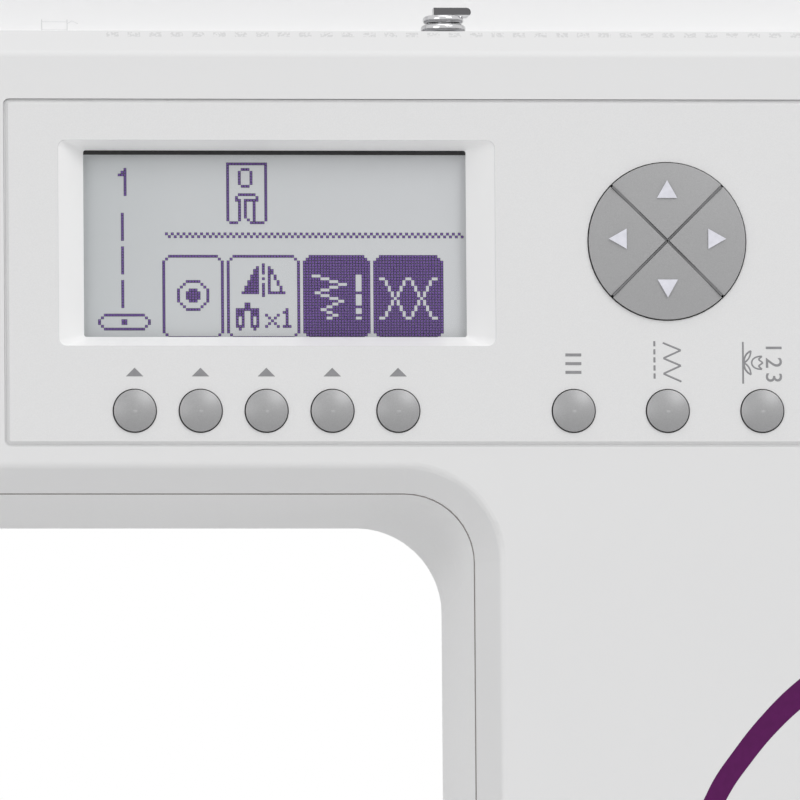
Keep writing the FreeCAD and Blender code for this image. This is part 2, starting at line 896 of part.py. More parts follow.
def make_top_deck():
    """The thread deck under the lid, with a tray for a lying spool."""
    body = new_body("top_deck_body")
    low, high = s.deck_height, s.deck_height + s.deck_thick
    wall, play = s.rear_wall, s.deck_play
    floor = rectangle(
        (s.body_left + wall + play, s.body_right - wall - play),
        (rear_front + play, s.arm_back - s.back_radius - play),
    )
    pad(body, "deck_floor", "top", (low, high), floor)
    tray_wall = s.tray_wall
    outer = rectangle(
        (s.tray_left - tray_wall, s.tray_right + tray_wall),
        (s.tray_front - tray_wall, s.tray_back + tray_wall - play),
        4 + tray_wall,
    )
    tray_bottom = low - s.tray_deep
    pad(body, "deck_tray", "top", (tray_bottom, low + 1), outer)
    inner = rectangle((s.tray_left, s.tray_right), (s.tray_front, s.tray_back - play), 4)
    pocket(body, "deck_tray_hollow", "top", (tray_bottom + tray_wall, high + 1), inner)
    slot_half = s.winder_radius + 1
    slot = rectangle(
        (s.winder_place - slot_half, s.winder_place + s.winder_travel + slot_half),
        (s.winder_depth - slot_half, s.winder_depth + slot_half),
        slot_half - 0.5,
    )
    stud = circle(s.stud_place, s.stud_depth, s.stud_post_radius + s.part_gap)
    pocket(body, "deck_slots", "top", (low - 1, high + 1), slot, stud)
    stop_x = s.winder_place + s.winder_seat_radius + s.winder_stop_gap
    stop = circle(stop_x, s.winder_depth - s.winder_stop_offset, 3.2)
    pad(body, "deck_winder_stop", "top", (high - 0.5, high + 9), stop)
    post_x = s.spool_pin_left - 6
    reach = s.spool_post_reach
    posts = rectangle((post_x - 3, post_x + 3), (s.spool_depth - reach, s.spool_depth - 5))
    posts_back = rectangle((post_x - 3, post_x + 3), (s.spool_depth + 5, s.spool_depth + reach))
    posts_level = (tray_bottom + tray_wall - 0.5, s.spool_pin_height + 4)
    pad(body, "deck_pin_posts", "top", posts_level, posts, posts_back)
    pocket(body, "deck_pin_bores", "front", (s.spool_depth - reach - 1, s.spool_depth + reach + 1),
           circle(post_x, s.spool_pin_height, 1.5 + s.pin_play))
    return keep(body, "top_deck")


def make_base_pan():
    """The bottom tray that carries the feet and the casting."""
    body = new_body("base_pan_body")
    low, floor, rim = s.pan_bottom, s.pan_bottom + s.pan_floor, s.pan_rim
    left, right = s.body_left + 1, s.body_right - 1
    front, back = s.bed_front + 1, s.box_back - 1
    outline = rectangle((left, right), (front, back), s.bed_corner - 1)
    pad(body, "pan_tray", "top", (low, rim), outline)
    bevel_edges(body, "pan_bevel", 1.5, lambda box: flat_at(box.ZMin, box.ZMax, low))
    wall = s.base_wall
    inner = rectangle((left + wall, right - wall), (front + wall, back - wall), s.bed_corner - 1 - wall)
    pocket(body, "pan_hollow", "top", (floor, rim + 1), inner)
    sockets = [circle(x, y, s.foot_radius + 0.1) for x, y in foot_places()]
    pocket(body, "pan_foot_sockets", "top", (low - 1, low + s.foot_sink), *sockets)
    posts = [circle(x, y, s.board_post_radius) for x, y in board_posts()]
    pad(body, "pan_posts", "top", (floor - 0.5, floor + s.board_post_rise), *posts)
    return keep(body, "base_pan")


def foot_places():
    left, right = s.body_left + s.foot_inset, s.body_right - s.foot_inset
    front, back = s.bed_front + s.foot_inset, s.box_back - s.foot_inset
    return [(left, front), (right, front), (left, back), (right, back)]


def board_posts():
    left, right = s.column_left + s.board_post_from_column, screw_right
    front = s.bed_front + s.board_post_from_front
    back = front + s.board_post_spread
    return [(left, front), (right, front), (left, back), (right, back)]


def make_rubber_feet():
    feet = []
    for i, (x, y) in enumerate(foot_places(), start=1):
        foot = cone(f"rubber_foot_{i}", "z", (x, y), (s.foot_radius - 1.2, s.foot_radius - 0.1),
                    (0, s.pan_bottom + s.foot_sink))
        feet.append(foot)
    return keep(group("rubber_feet_group", *feet), "rubber_feet")


def make_base_cover():
    """The moulded base under the column with the free arm that grows out of it."""
    body = new_body("base_cover_body")
    low, top = s.pan_rim + s.seam, s.bed_top
    foot = rectangle((s.column_left, s.body_right), (s.bed_front, s.bed_back), 0)
    foot[1] = (s.body_right, s.bed_front, s.bed_corner)
    foot[2] = (s.body_right, s.bed_back, s.bed_corner)
    pad(body, "base_foot", "top", (low, top), foot)
    edge = s.bed_edge

    def roof_edge(box):
        return flat_at(box.ZMin, box.ZMax, top) and box.XMax > s.column_left.number + 1

    round_edges(body, "base_roof_edge", edge, roof_edge)
    arm = rectangle((s.free_arm_front, s.free_arm_back), (s.free_arm_bottom, top), s.free_arm_edge)
    pad(body, "free_arm_tube", "side", (s.free_arm_left, s.column_left + 0.5), arm)
    wall = s.base_wall
    inner_x = (s.column_left + wall, s.body_right - wall)
    inner = rectangle(inner_x, (s.bed_front + wall, s.bed_back - wall), 0)
    inner[1] = (s.body_right - wall, s.bed_front + wall, s.bed_corner - wall)
    inner[2] = (s.body_right - wall, s.bed_back - wall, s.bed_corner - wall)
    pocket(body, "base_hollow", "top", (low - 1, top - s.base_roof), inner)
    hollow = rectangle(
        (s.free_arm_front + wall, s.free_arm_back - wall),
        (s.free_arm_bottom + wall, top - s.free_arm_roof),
        1,
    )
    pocket(body, "free_arm_hollow", "side", (s.free_arm_left + wall, s.column_left + wall + 1), hollow)
    play = s.plate_play
    seat = rectangle(
        (s.plate_left - play, s.plate_right + play),
        (s.plate_front - play, s.plate_back + play),
        s.plate_corner + play,
    )
    pocket(body, "plate_seat", "top", (top - s.plate_thick, top + 1), seat)
    ledge = s.plate_ledge
    well = rectangle(
        (s.plate_left + ledge, s.plate_right - ledge),
        (s.plate_front + ledge, s.plate_back - ledge),
        1,
    )
    column_hole = rectangle((s.column_left + 8, s.body_right - 6), (s.arm_front + 12, s.arm_back - 8), 3)
    pocket(body, "base_roof_openings", "top", (top - s.free_arm_roof - 1, top + 1), well, column_hole)
    half_w, half_l = s.inlet_width / 2 + 0.3, s.inlet_length / 2 + 0.3
    inlet = rectangle(
        (s.inlet_place - half_w, s.inlet_place + half_w),
        (s.inlet_center - half_l, s.inlet_center + half_l),
        1,
    )
    pocket(body, "base_inlet_hole", "side", (s.body_right - wall - 1, s.body_right + 1), inlet)
    return keep(body, "base_cover")


def make_accessory_box():
    """The removable bed extension, a U in plan around the free arm."""
    body = new_body("accessory_box_body")
    play, wall = s.box_play, s.box_wall
    low, top = s.pan_rim + s.box_lift, s.bed_top
    left, right = s.body_left, s.column_left - s.seam
    arm_front, arm_back = s.free_arm_front - play, s.free_arm_back + play
    arm_left = s.free_arm_left - play
    outline = [
        (left, s.bed_front, s.bed_corner),
        (right, s.bed_front, 0),
        (right, arm_front, 0),
        (arm_left, arm_front, 1),
        (arm_left, arm_back, 1),
        (right, arm_back, 0),
        (right, s.box_back, 0),
        (left, s.box_back, s.bed_corner),
    ]
    pad(body, "box_walls", "top", (low, top), outline)

    def outer_rim(box):
        inner = box.YMin > s.bed_front.number + 1 and box.YMax < s.box_back.number - 1
        roof = flat_at(box.ZMin, box.ZMax, top) and not (inner and box.XMax > arm_left.number - 0.5)
        return roof and not near(box.XMin, right)

    round_edges(body, "box_roof_edge", s.bed_edge, outer_rim)
    cavity = rectangle((s.flap_left, right - wall - s.flap_gap), (s.bed_front - 1, arm_front - wall))
    pocket(body, "box_compartment", "top", (low + s.box_floor, top + 1), cavity)
    sill = rectangle((s.flap_left, right - wall - s.flap_gap), (s.bed_front - 1, s.bed_front + 7))
    pocket(body, "box_sill", "top", (low - 1, low + s.box_floor + 0.5), sill)
    end_hollow = rectangle((left + wall, arm_left - wall), (arm_front + 1, s.box_back - wall), 2)
    back_hollow = rectangle((arm_left + 2, right - wall), (arm_back + 2.5, s.box_back - 2.5))
    pocket(body, "box_end_hollows", "top", (low - 1, top - wall), end_hollow, back_hollow)
    pin_y, pin_z = s.bed_front + s.flap_axis_depth, low + s.flap_axis_height
    bore = circle(pin_y, pin_z, s.flap_pin_radius + s.pin_play)
    pocket(body, "box_pin_bores", "side", (s.flap_left - 2.5, right - wall - s.flap_gap + 2.5), bore)
    return keep(body, "accessory_box")


def make_accessory_flap():
    """The L-shaped lid of the accessory box, which tips forward on two pins."""
    body = new_body("accessory_flap_body")
    wall, gap = s.flap_wall, s.flap_gap
    low, top = s.pan_rim + s.box_lift, s.bed_top
    left = s.flap_left + gap
    right = s.column_left - s.seam - s.box_wall - s.flap_gap - gap
    front, back = s.bed_front, s.free_arm_front - s.box_play - s.box_wall - gap
    profile = [
        (front, low + 1, 1),
        (front + wall, low + 1, 1),
        (front + wall, top - wall, 0),
        (back, top - wall, 0),
        (back, top, 0),
        (front, top, s.bed_edge),
    ]
    pad(body, "flap_shell", "side", (left, right), profile)
    pin_y, pin_z = front + s.flap_axis_depth, low + s.flap_axis_height
    pad(body, "flap_pins", "side", (left - 2, right + 2), circle(pin_y, pin_z, s.flap_pin_radius))
    return keep(body, "accessory_flap")


def make_lid():
    """The top lid, drawn closed and turned open about its hinge."""
    body = new_body("lid_body")
    low, top = s.arm_top + s.seam, s.arm_top + s.lid_rise
    front, back = cover_seam, s.arm_back
    outline = rectangle((lid_left, lid_right), (front, back), s.lid_corner)
    pad(body, "lid_block", "top", (low, top), outline)
    round_edges(body, "lid_edge", s.lid_edge, lambda box: flat_at(box.ZMin, box.ZMax, top))
    wall, inset = s.lid_wall, s.lid_edge
    inner = rectangle((lid_left + wall, lid_right - wall), (front + wall, back - wall), s.lid_corner - wall)
    pocket(body, "lid_hollow", "top", (low - 1, top - inset), inner)
    high = rectangle((lid_left + inset, lid_right - inset), (front + inset, back - inset),
                     s.lid_corner - inset + 1)
    pocket(body, "lid_high_hollow", "top", (top - inset - 0.01, top - wall), high)
    half, cheek = s.hinge_ear / 2 + 0.3, s.hinge_cheek
    cheeks, notches = [], []
    for side in (-1, 1):
        middle = side * s.hinge_spread
        for start, end in ((middle - half - cheek, middle - half), (middle + half, middle + half + cheek)):
            cheeks.append(rectangle((start, end), (hinge_y - 4.5, back - 1)))
        notches.append(rectangle((middle - half, middle + half), (hinge_y - 4.5, back + 1)))
    pad(body, "lid_cheeks", "top", (low, hinge_z + 4.2), *cheeks)
    pocket(body, "lid_notches", "top", (low - 1, hinge_z + 4.6), *notches)
    for side, word in ((-1, "left"), (1, "right")):
        middle = side * s.hinge_spread
        pocket(body, f"lid_{word}_bore", "side", (middle - half - cheek - 1, middle + half + cheek + 1),
               circle(hinge_y, hinge_z, s.hinge_pin_radius + s.pin_play))
    turn = Rotation(Vector(1, 0, 0), -s.lid_open.number)
    pivot = Vector(0, hinge_y.number, hinge_z.number)
    body.Placement = FreeCAD.Placement(Vector(), turn, pivot)
    return keep(body, "lid")


# ---------------------------------------------------------------------------
# Control panel and display
# ---------------------------------------------------------------------------
def soft_key_places():
    return [s.soft_key_first + s.soft_key_step * i for i in range(5)]


def function_key_places():
    return {
        "menu_key": s.menu_key_place,
        "stitch_key": s.stitch_key_place,
        "letter_key": s.letter_key_place,
    }


def make_control_panel():
    """The flush panel with the sloped display bezel and the holes of its keys."""
    body = new_body("control_panel_body")
    front, back = s.arm_front, panel_back
    face = rectangle((s.panel_left, s.panel_right), (s.panel_bottom, s.panel_top), s.panel_corner)
    pad(body, "panel_face", "front", (front, back), face)
    bevel_edges(body, "panel_bevel", s.panel_bevel, lambda box: flat_at(box.YMin, box.YMax, front))
    more = s.panel_gap - s.part_gap
    shoulder = rectangle(
        (s.panel_left - more, s.panel_right + more),
        (s.panel_bottom - more, s.panel_top + more),
        s.panel_corner + more,
    )
    pad(body, "panel_shoulder", "front", (front + s.panel_shoulder, back), shoulder)
    more = s.panel_flange
    flange = rectangle(
        (s.panel_left - more, s.panel_right + more),
        (s.panel_bottom - more, s.panel_top + more),
        s.panel_corner,
    )
    pad(body, "panel_flange", "front", (back, back + s.panel_flange_thick), flange)
    outer_x = (s.display_left - s.bezel_side, s.display_right + s.bezel_side)
    outer_z = (s.display_bottom - s.bezel_rise, s.display_top + s.bezel_top_rise)
    inner_x = (s.display_left, s.display_right)
    inner_z = (s.display_bottom, s.display_top)
    frame = rectangle((outer_x[0] - 2, outer_x[1] + 2), (outer_z[0] - 2, outer_z[1] + 2), 2)
    inner_level = front + s.bezel_depth
    pad(body, "panel_display_frame", "front", (back + 0.5, inner_level + s.seam), frame)
    before = body.Tip
    loft = body.newObject("PartDesign::SubtractiveLoft", "panel_bezel")
    outer = rectangle(outer_x, outer_z, s.bezel_corner)
    inner = rectangle(inner_x, inner_z, 0.5)
    loft.Profile = draw(body, "panel_bezel_outer", "front", front, [outer])
    loft.Sections = [draw(body, "panel_bezel_inner", "front", inner_level, [inner])]
    loft.Ruled = True
    CUTS.append((before, loft))
    pocket(body, "panel_window", "front", (inner_level - 0.01, inner_level + 1), inner)
    row = s.key_row_height
    places = soft_key_places() + list(function_key_places().values())
    pad_centre = (s.pad_place, s.pad_height)
    play, lip = s.key_play, s.key_lip + s.key_play * 2
    holes = [circle(x, row, s.key_radius + play) for x in places]
    holes.append(circle(*pad_centre, s.pad_radius + play))
    pocket(body, "panel_key_holes", "front", (front - 1, back + 3), *holes)
    wells = [circle(x, row, s.key_radius + lip) for x in places]
    wells.append(circle(*pad_centre, s.pad_radius + lip))
    pocket(body, "panel_key_wells", "front", (back, back + 3), *wells)
    return keep(body, "control_panel")


def make_display():
    margin = s.lens_margin
    lens = block(
        "lens_plate",
        (s.display_left - margin, s.display_right + margin),
        (lens_front, lens_front + s.lens_thick),
        (s.display_bottom - margin, s.display_top + margin),
    )
    keep(lens, "display_lens")
    margin = s.module_margin
    can = block(
        "module_can",
        (s.display_left - margin, s.display_right + margin),
        (module_front, module_front + s.module_thick),
        (s.display_bottom - margin, s.deck_height - s.seam),
    )
    cell = block(
        "module_window",
        (s.display_left - 0.8, s.display_right + 0.8),
        (module_front - 1, module_front + 0.4),
        (s.display_bottom - 0.8, s.display_top + 0.8),
    )
    keep(carve("module_frame", can, cell), "display_module")


def push_key(node, x, z, radius, wall_back, stem_end, rise):
    """A domed round key with a lip behind the wall and a stem to its switch."""
    front = s.arm_front - rise
    crown = s.key_crown
    sphere_radius = radius.number ** 2 / (2 * crown.number) + crown.number / 2
    shaft = rod(f"{node}_shaft", "y", (x, z), radius, (front - crown, wall_back + s.seam))
    bulge = as_size(sphere_radius)
    dome = ball(f"{node}_sphere", (x, front - crown + bulge, z), bulge)
    cap = overlap(f"{node}_cap", shaft, dome)
    lip_front = wall_back + s.seam
    lip = rod(f"{node}_lip", "y", (x, z), radius + s.key_lip, (lip_front, lip_front + s.key_lip_thick))
    stem = rod(f"{node}_stem", "y", (x, z), s.key_stem_radius, (lip_front, stem_end))
    keep(join(f"{node}_whole", cap, lip, stem), node)


def make_keys():
    stem_end = switch_front - s.key_travel - s.part_gap
    for i, x in enumerate(soft_key_places(), start=1):
        push_key(f"soft_key_{i}", x, s.key_row_height, s.key_radius, panel_back, stem_end, s.key_rise)
    for node, x in function_key_places().items():
        push_key(node, x, s.key_row_height, s.key_radius, panel_back, stem_end, s.key_rise)


def head_buttons():
    return {
        "start_button": s.start_button_place,
        "reverse_button": s.reverse_button_place,
        "needle_button": s.needle_button_place,
    }


def make_head_buttons():
    wall_back = s.arm_front + s.front_wall
    stem_end = wall_back + 3.5
    for node, x in head_buttons().items():
        push_key(node, x, s.head_button_height, s.head_button_radius, wall_back, stem_end, s.key_rise)


PAD_SECTORS = {"pad_right": 0, "pad_up": 90, "pad_left": 180, "pad_down": 270}


def make_pad_sectors():
    """Four quarter keys that make up one round cursor pad."""
    x, z, radius = s.pad_place, s.pad_height, s.pad_radius
    front = s.arm_front - s.pad_rise
    crown = s.pad_crown
    bulge = as_size(radius.number ** 2 / (2 * crown.number) + crown.number / 2)
    stem_end = switch_front - s.key_travel - s.part_gap
    lip_front = panel_back + s.seam
    for node, angle in PAD_SECTORS.items():
        way_x, way_z = round(math.cos(math.radians(angle))), round(math.sin(math.radians(angle)))
        shaft = rod(f"{node}_shaft", "y", (x, z), radius, (front - crown, lip_front))
        dome = ball(f"{node}_sphere", (x, front - crown + bulge, z), bulge)
        cap = overlap(f"{node}_cap", shaft, dome)
        lip = rod(f"{node}_lip", "y", (x, z), radius + s.key_lip, (lip_front, lip_front + s.key_lip_thick))
        disc = join(f"{node}_disc", cap, lip)
        quarter = doc.addObject("Part::Cylinder", f"{node}_quarter")
        quarter.Angle = 90
        turn = AXIS_TURN["y"].multiply(Rotation(Vector(0, 0, 1), -angle - 45))
        quarter.Placement = FreeCAD.Placement(Vector(), turn)
        tie(quarter, "Radius", radius * 2)
        tie(quarter, "Height", crown + s.pad_rise + 20)
        place(quarter, x + s.pad_groove * way_x, front - crown - 5, z + s.pad_groove * way_z)
        sector = overlap(f"{node}_sector", disc, quarter)
        reach = s.pad_stem_place
        stem = rod(f"{node}_stem", "y", (x + reach * way_x, z + reach * way_z), s.key_stem_radius,
                   (lip_front, stem_end))
        keep(join(f"{node}_whole", sector, stem), node)


def make_circuit_boards():
    """The control board behind the panel and the power board in the base."""
    board_back = board_front + s.board_thick
    edge = 3
    plate = block(
        "control_board_plate",
        (s.panel_left + edge, s.letter_key_place + s.key_radius + 6),
        (board_front, board_back),
        (s.panel_bottom + 1, s.deck_height - 1),
    )
    half = s.switch_width / 2
    places = [(x, s.key_row_height) for x in soft_key_places()]
    places += [(x, s.key_row_height) for x in function_key_places().values()]
    reach = s.pad_stem_place
    for angle in PAD_SECTORS.values():
        turn = math.radians(angle)
        way_x, way_z = round(math.cos(turn)), round(math.sin(turn))
        places.append((s.pad_place + reach * way_x, s.pad_height + reach * way_z))
    switches = [
        block(f"key_switch_{i}", (x - half, x + half), (switch_front, board_front), (z - half, z + half))
        for i, (x, z) in enumerate(places, start=1)
    ]
    control = join("control_board", plate, *switches)
    posts = board_posts()
    low = s.pan_bottom + s.pan_floor + 7.5
    (left, front), (right, back) = posts[0], posts[3]
    top = low + s.board_thick
    base = block("power_board_plate", (left - 5, right + 5), (front - 5, back + 5), (low, top))
    choke = block("power_choke", (left + 8, left + 30), (front + 6, front + 28), (top, top + 20))
    can = rod("power_capacitor", "z", (left + 48, front + 16), 9, (top, top + 26))
    sink = block("power_heat_sink", (left + 66, left + 72), (front + 2, front + 30), (top, top + 24))
    power = join("power_board", base, choke, can, sink)
    return keep(group("circuit_boards_group", control, power), "circuit_boards")


def make_speed_slider():
    """The sliding speed knob with its stem and its plate behind the cover."""
    x, z = s.slider_place, s.slider_height
    half = s.slider_width / 2
    knob_back = s.arm_front - s.seam
    knob = block("slider_knob", (x - half, x + half), (knob_back - 4, knob_back), (z - 5.5, z + 5.5))
    rounded = soften("slider_knob_round", knob, 1.2, lambda box: box.YMin < knob_back.number - 0.5)
    half_slot = s.slider_slot / 2 - s.seam
    plate_front = s.arm_front + s.front_wall + s.seam
    stem = block("slider_stem", (x - 3, x + 3), (knob_back, plate_front), (z - half_slot, z + half_slot))
    plate = block("slider_plate", (x - 8, x + 8), (plate_front, plate_front + 1.2), (z - 5, z + 5))
    keep(join("slider_whole", rounded, stem, plate), "speed_slider")


def make_tension_dial():
    x, z = s.dial_place, s.dial_height
    y = s.arm_front - s.dial_stand + s.dial_radius
    half = s.dial_width / 2
    wheel = rod("dial_wheel", "x", (y, z), s.dial_radius, (x - half, x + half))
    bore = rod("dial_bore", "x", (y, z), s.dial_pin_radius + s.running_gap, (x - half - 1, x + half + 1))
    notches = []
    count = 30
    for i in range(count):
        turn = 2 * math.pi * i / count
        reach = s.dial_radius + 0.25
        notches.append(rod(f"dial_notch_{i}", "x", (y + reach * math.sin(turn), z + reach * math.cos(turn)),
                           0.7, (x + half - 2, x + half + 1)))
    keep(carve("dial_whole", wheel, bore, *notches), "tension_dial")


def make_power_switch():
    """The rocker in the right side of the column."""
    outer = s.body_right + 1.2
    half_w, half_l = s.rocker_width / 2, s.rocker_length / 2
    y, z = s.switch_place, s.switch_center
    inner = s.body_right - 2.4
    rocker = block("rocker_plate", (inner, outer), (y - half_w, y + half_w), (z - half_l, z + half_l))
    rounded = soften("rocker_round", rocker, 0.8, lambda box: box.XMin > s.body_right.number)
    stub = block("rocker_stub", (s.body_right - 8, inner), (y - 3, y + 3), (z - 3, z + 3))
    keep(join("rocker_whole", rounded, stub), "power_switch")


def make_power_inlet():
    """The mains inlet and the foot control jack, in one moulded block."""
    y, z = s.inlet_place, s.inlet_center
    half_w, half_l = s.inlet_width / 2, s.inlet_length / 2
    face = s.body_right
    inner = face - s.inlet_deep - 4
    shell = block("inlet_shell", (inner, face), (y - half_w, y + half_w), (z - half_l, z + half_l))
    collar = block("inlet_collar", (face - s.base_wall - 2.5, face - s.base_wall - s.part_gap),
                   (y - half_w - 3, y + half_w + 3), (z - half_l - 3, z + half_l + 3))
    mouth = block("inlet_mouth", (face - s.inlet_deep, face + 1),
                  (y - half_w + 2, y + 3), (z - half_l + 3, z + half_l - 3))
    jack = rod("jack_mouth", "x", (y + half_w - 4.5, z), 2.6, (face - s.inlet_deep, face + 1))
    pins = [
        rod(f"inlet_pin_{i}", "x", (y - 4.5 + offset, z), 1.2, (face - s.inlet_deep - 0.5, face - 4))
        for i, offset in enumerate((-2.8, 2.8), start=1)
    ]
    hollow = carve("inlet_hollow", join("inlet_block", shell, collar), mouth, jack)
    keep(join("inlet_whole", hollow, *pins), "power_inlet")


# ---------------------------------------------------------------------------
# Casting, shafts and belts
# ---------------------------------------------------------------------------
def lug(name, x, z, radius):
    """A bearing lug for a shaft along x, from the web forward round the bore."""
    half = s.lug_width / 2
    outer = radius + s.lug_wall
    arm_y = (s.shaft_depth, s.web_front + 1)
    arm = block(f"{name}_arm", (x - half, x + half), arm_y, (z - outer, z + outer))
    eye = rod(f"{name}_eye", "x", (s.shaft_depth, z), outer, (x - half, x + half))
    return [arm, eye]


MAIN_LUG_PLACES = (s.main_lug_left, s.main_lug_middle, s.main_lug_right)
LOWER_LUG_PLACES = (s.lower_lug_left, s.lower_lug_right)


def make_casting():
    """The cast C-frame: web, bearing lugs, head guides and feet."""
    body = new_body("casting_web_body")
    inset = s.web_inset
    left, right = s.body_left + 2 * s.back_radius, s.body_right - inset - s.rear_wall
    bed_top = s.bed_top - s.free_arm_roof - 2
    head_bottom = s.head_bottom + s.rear_wall + 1
    head_right = s.head_right - inset - s.rear_wall
    column_left = s.column_left + s.back_radius + inset
    arm_bottom = s.arm_bottom + s.back_radius + inset
    web = [
        (s.free_arm_left + 8, s.web_bottom, 4),
        (right, s.web_bottom, 4),
        (right, s.web_top, 8),
        (left, s.web_top, 8),
        (left, head_bottom, 6),
        (head_right, head_bottom, 6),
        (head_right, arm_bottom, 10),
        (column_left, arm_bottom, 24),
        (column_left, bed_top, 10),
        (s.free_arm_left + 8, bed_top, 4),
    ]
    pad(body, "casting_web", "front", (s.web_front, web_back), web)
    bores = [circle(x, z, s.screw_radius + s.running_gap) for x, z in SCREW_PLACES]
    pocket(body, "casting_screw_bores", "front", (s.web_front - 1, web_back + 1), *bores)
    main_bush = s.main_shaft_radius + s.bush_wall
    lower_bush = s.lower_shaft_radius + s.bush_wall
    solids = [body]
    tools = []
    half = s.lug_width / 2
    for i, x in enumerate(MAIN_LUG_PLACES, start=1):
        solids += lug(f"main_lug_{i}", x, s.main_shaft_height, main_bush)
        tools.append(rod(f"main_bore_{i}", "x", (s.shaft_depth, s.main_shaft_height), main_bush,
                         (x - half - 1, x + half + 1)))
    for i, x in enumerate(LOWER_LUG_PLACES, start=1):
        solids += lug(f"lower_lug_{i}", x, s.lower_shaft_height, lower_bush)
        tools.append(rod(f"lower_bore_{i}", "x", (s.shaft_depth, s.lower_shaft_height), lower_bush,
                         (x - half - 1, x + half + 1)))
    place_x, gap = s.needle_place, s.running_gap
    guide_x, guide_y = (place_x - 9, place_x + 9), (s.shaft_depth - 8, s.web_front + 1)
    for word, low in (("low", s.guide_low), ("high", s.guide_high)):
        solids.append(block(f"guide_{word}", guide_x, guide_y, (low, low + s.guide_thick)))
    guide_span = (s.guide_low - 1, s.guide_high + s.guide_thick + 1)
    needle_at = (place_x, s.shaft_depth)
    tools.append(rod("needle_bar_bore", "z", needle_at, s.needle_bar_radius + gap, guide_span))
    presser_at = (place_x, s.presser_depth)
    tools.append(rod("presser_bar_bore", "z", presser_at, s.presser_bar_radius + gap, guide_span))
    pin_z = s.take_up_height
    pin_right = s.take_up_place + s.take_up_thick / 2 + s.seam
    solids.append(block("take_up_arm", (pin_right, pin_right + 4), (s.shaft_depth - 5, s.web_front + 1),
                        (pin_z - 5, pin_z + 5)))
    solids.append(rod("take_up_pin", "x", (s.shaft_depth, pin_z), s.take_up_pin_radius,
                      (s.take_up_place - s.take_up_thick / 2 - 1, pin_right + 1)))
    dial_y = s.arm_front - s.dial_stand + s.dial_radius
    dial_right = s.dial_place + s.dial_width / 2 + 1
    solids.append(block("dial_arm", (dial_right, dial_right + 5), (dial_y - 4, s.web_front + 1),
                        (s.dial_height - 11, s.dial_height - 0)))
    solids.append(rod("dial_pin", "x", (dial_y, s.dial_height), s.dial_pin_radius,
                      (s.dial_place - s.dial_width / 2 - 1, dial_right + 1)))
    hook_low = s.free_arm_bottom + s.base_wall + 1
    solids.append(block("hook_lug", (place_x - 9, place_x + 9), (hook_y - 8, s.web_front + 1),
                        (hook_low, hook_low + 3)))
    tools.append(rod("hook_bore", "z", (place_x, hook_y), s.hook_shaft_radius + gap,
                     (hook_low - 1, hook_low + 4)))
    solids.append(block("hook_web_foot", (place_x - 9, place_x + 9), (s.web_front, web_back),
                        (hook_low, s.web_bottom + 1)))
    lifter_pin = rod("lifter_pin", "y", (s.lifter_place, s.lifter_height), 3,
                     (web_back - 1, lifter_back + 0.5))
    solids.append(lifter_pin)
    pan_top = s.pan_bottom + s.pan_floor
    for i, x in enumerate((s.column_left + 26, s.body_right - 22), start=1):
        solids.append(block(f"casting_foot_{i}", (x - 7, x + 7), (s.web_front - 4, web_back + 2),
                            (pan_top, s.web_bottom + 4)))
    whole = carve("casting_whole", join("casting_joined", *solids), *tools)
    return keep(whole, "arm_casting")


def make_bushings():
    rings = []
    half = s.lug_width / 2
    shafts = [
        ("main", MAIN_LUG_PLACES, s.main_shaft_height, s.main_shaft_radius),
        ("lower", LOWER_LUG_PLACES, s.lower_shaft_height, s.lower_shaft_radius),
    ]
    for word, places, z, radius in shafts:
        for i, x in enumerate(places, start=1):
            at = (s.shaft_depth, z)
            outer = rod(f"{word}_bush_{i}_outer", "x", at, radius + s.bush_wall - 0.02, (x - half, x + half))
            bore = radius + s.running_gap
            inner = rod(f"{word}_bush_{i}_bore", "x", at, bore, (x - half - 1, x + half + 1))
            rings.append(carve(f"{word}_bush_{i}", outer, inner))
    return keep(group("shaft_bushings_group", *rings), "shaft_bushings")


def toothed_wheel(name, axis, at, radius, span, teeth):
    """A plain wheel with square teeth cut into its rim."""
    wheel = rod(f"{name}_blank", axis, at, radius, span)
    notches = []
    for i in range(teeth):
        turn = 2 * math.pi * i / teeth
        middle = (at[0] + radius * math.cos(turn), at[1] + radius * math.sin(turn))
        notches.append(rod(f"{name}_notch_{i}", axis, middle, radius * 0.09, (span[0] - 1, span[1] + 1)))
    return carve(name, wheel, *notches)


def make_main_shaft():
    """The main shaft with its crank, crank pin, timing pulley and drive pulley."""
    at = (s.shaft_depth, s.main_shaft_height)
    crank_back = s.crank_face + s.crank_width
    shaft_end = s.body_right + s.wheel_gap + s.wheel_grip
    shaft = rod("main_rod", "x", at, s.main_shaft_radius, (crank_back - 1, shaft_end))
    crank = rod("crank_disc", "x", at, s.crank_radius, (s.crank_face, crank_back))
    pin = rod("crank_pin", "x", (s.shaft_depth, s.main_shaft_height + s.crank_throw), s.crank_pin_radius,
              (s.crank_face - s.crank_pin_length, s.crank_face + 1))
    half = s.pulley_width / 2
    timing = toothed_wheel("main_timing_pulley", "x", at, s.timing_pulley_radius,
                           (s.timing_pulley_place - half, s.timing_pulley_place + half), 20)
    drive = rod("main_drive_pulley", "x", at, s.drive_pulley_radius,
                (s.drive_pulley_place - half, s.drive_pulley_place + half))
    keep(join("main_shaft_whole", shaft, crank, pin, timing, drive), "main_shaft")


def make_lower_shaft():
    at = (s.shaft_depth, s.lower_shaft_height)
    half = s.pulley_width / 2
    left = s.needle_place - s.gear_width
    shaft = rod("lower_rod", "x", at, s.lower_shaft_radius, (left, s.timing_pulley_place + half + 2))
    gear_half = s.gear_width / 2
    gear = toothed_wheel("lower_gear", "x", at, s.lower_gear_radius,
                         (s.needle_place - gear_half, s.needle_place + gear_half), 24)
    timing = toothed_wheel("lower_timing_pulley", "x", at, s.timing_pulley_radius,
                           (s.timing_pulley_place - half, s.timing_pulley_place + half), 20)
    keep(join("lower_shaft_whole", shaft, gear, timing), "lower_shaft")


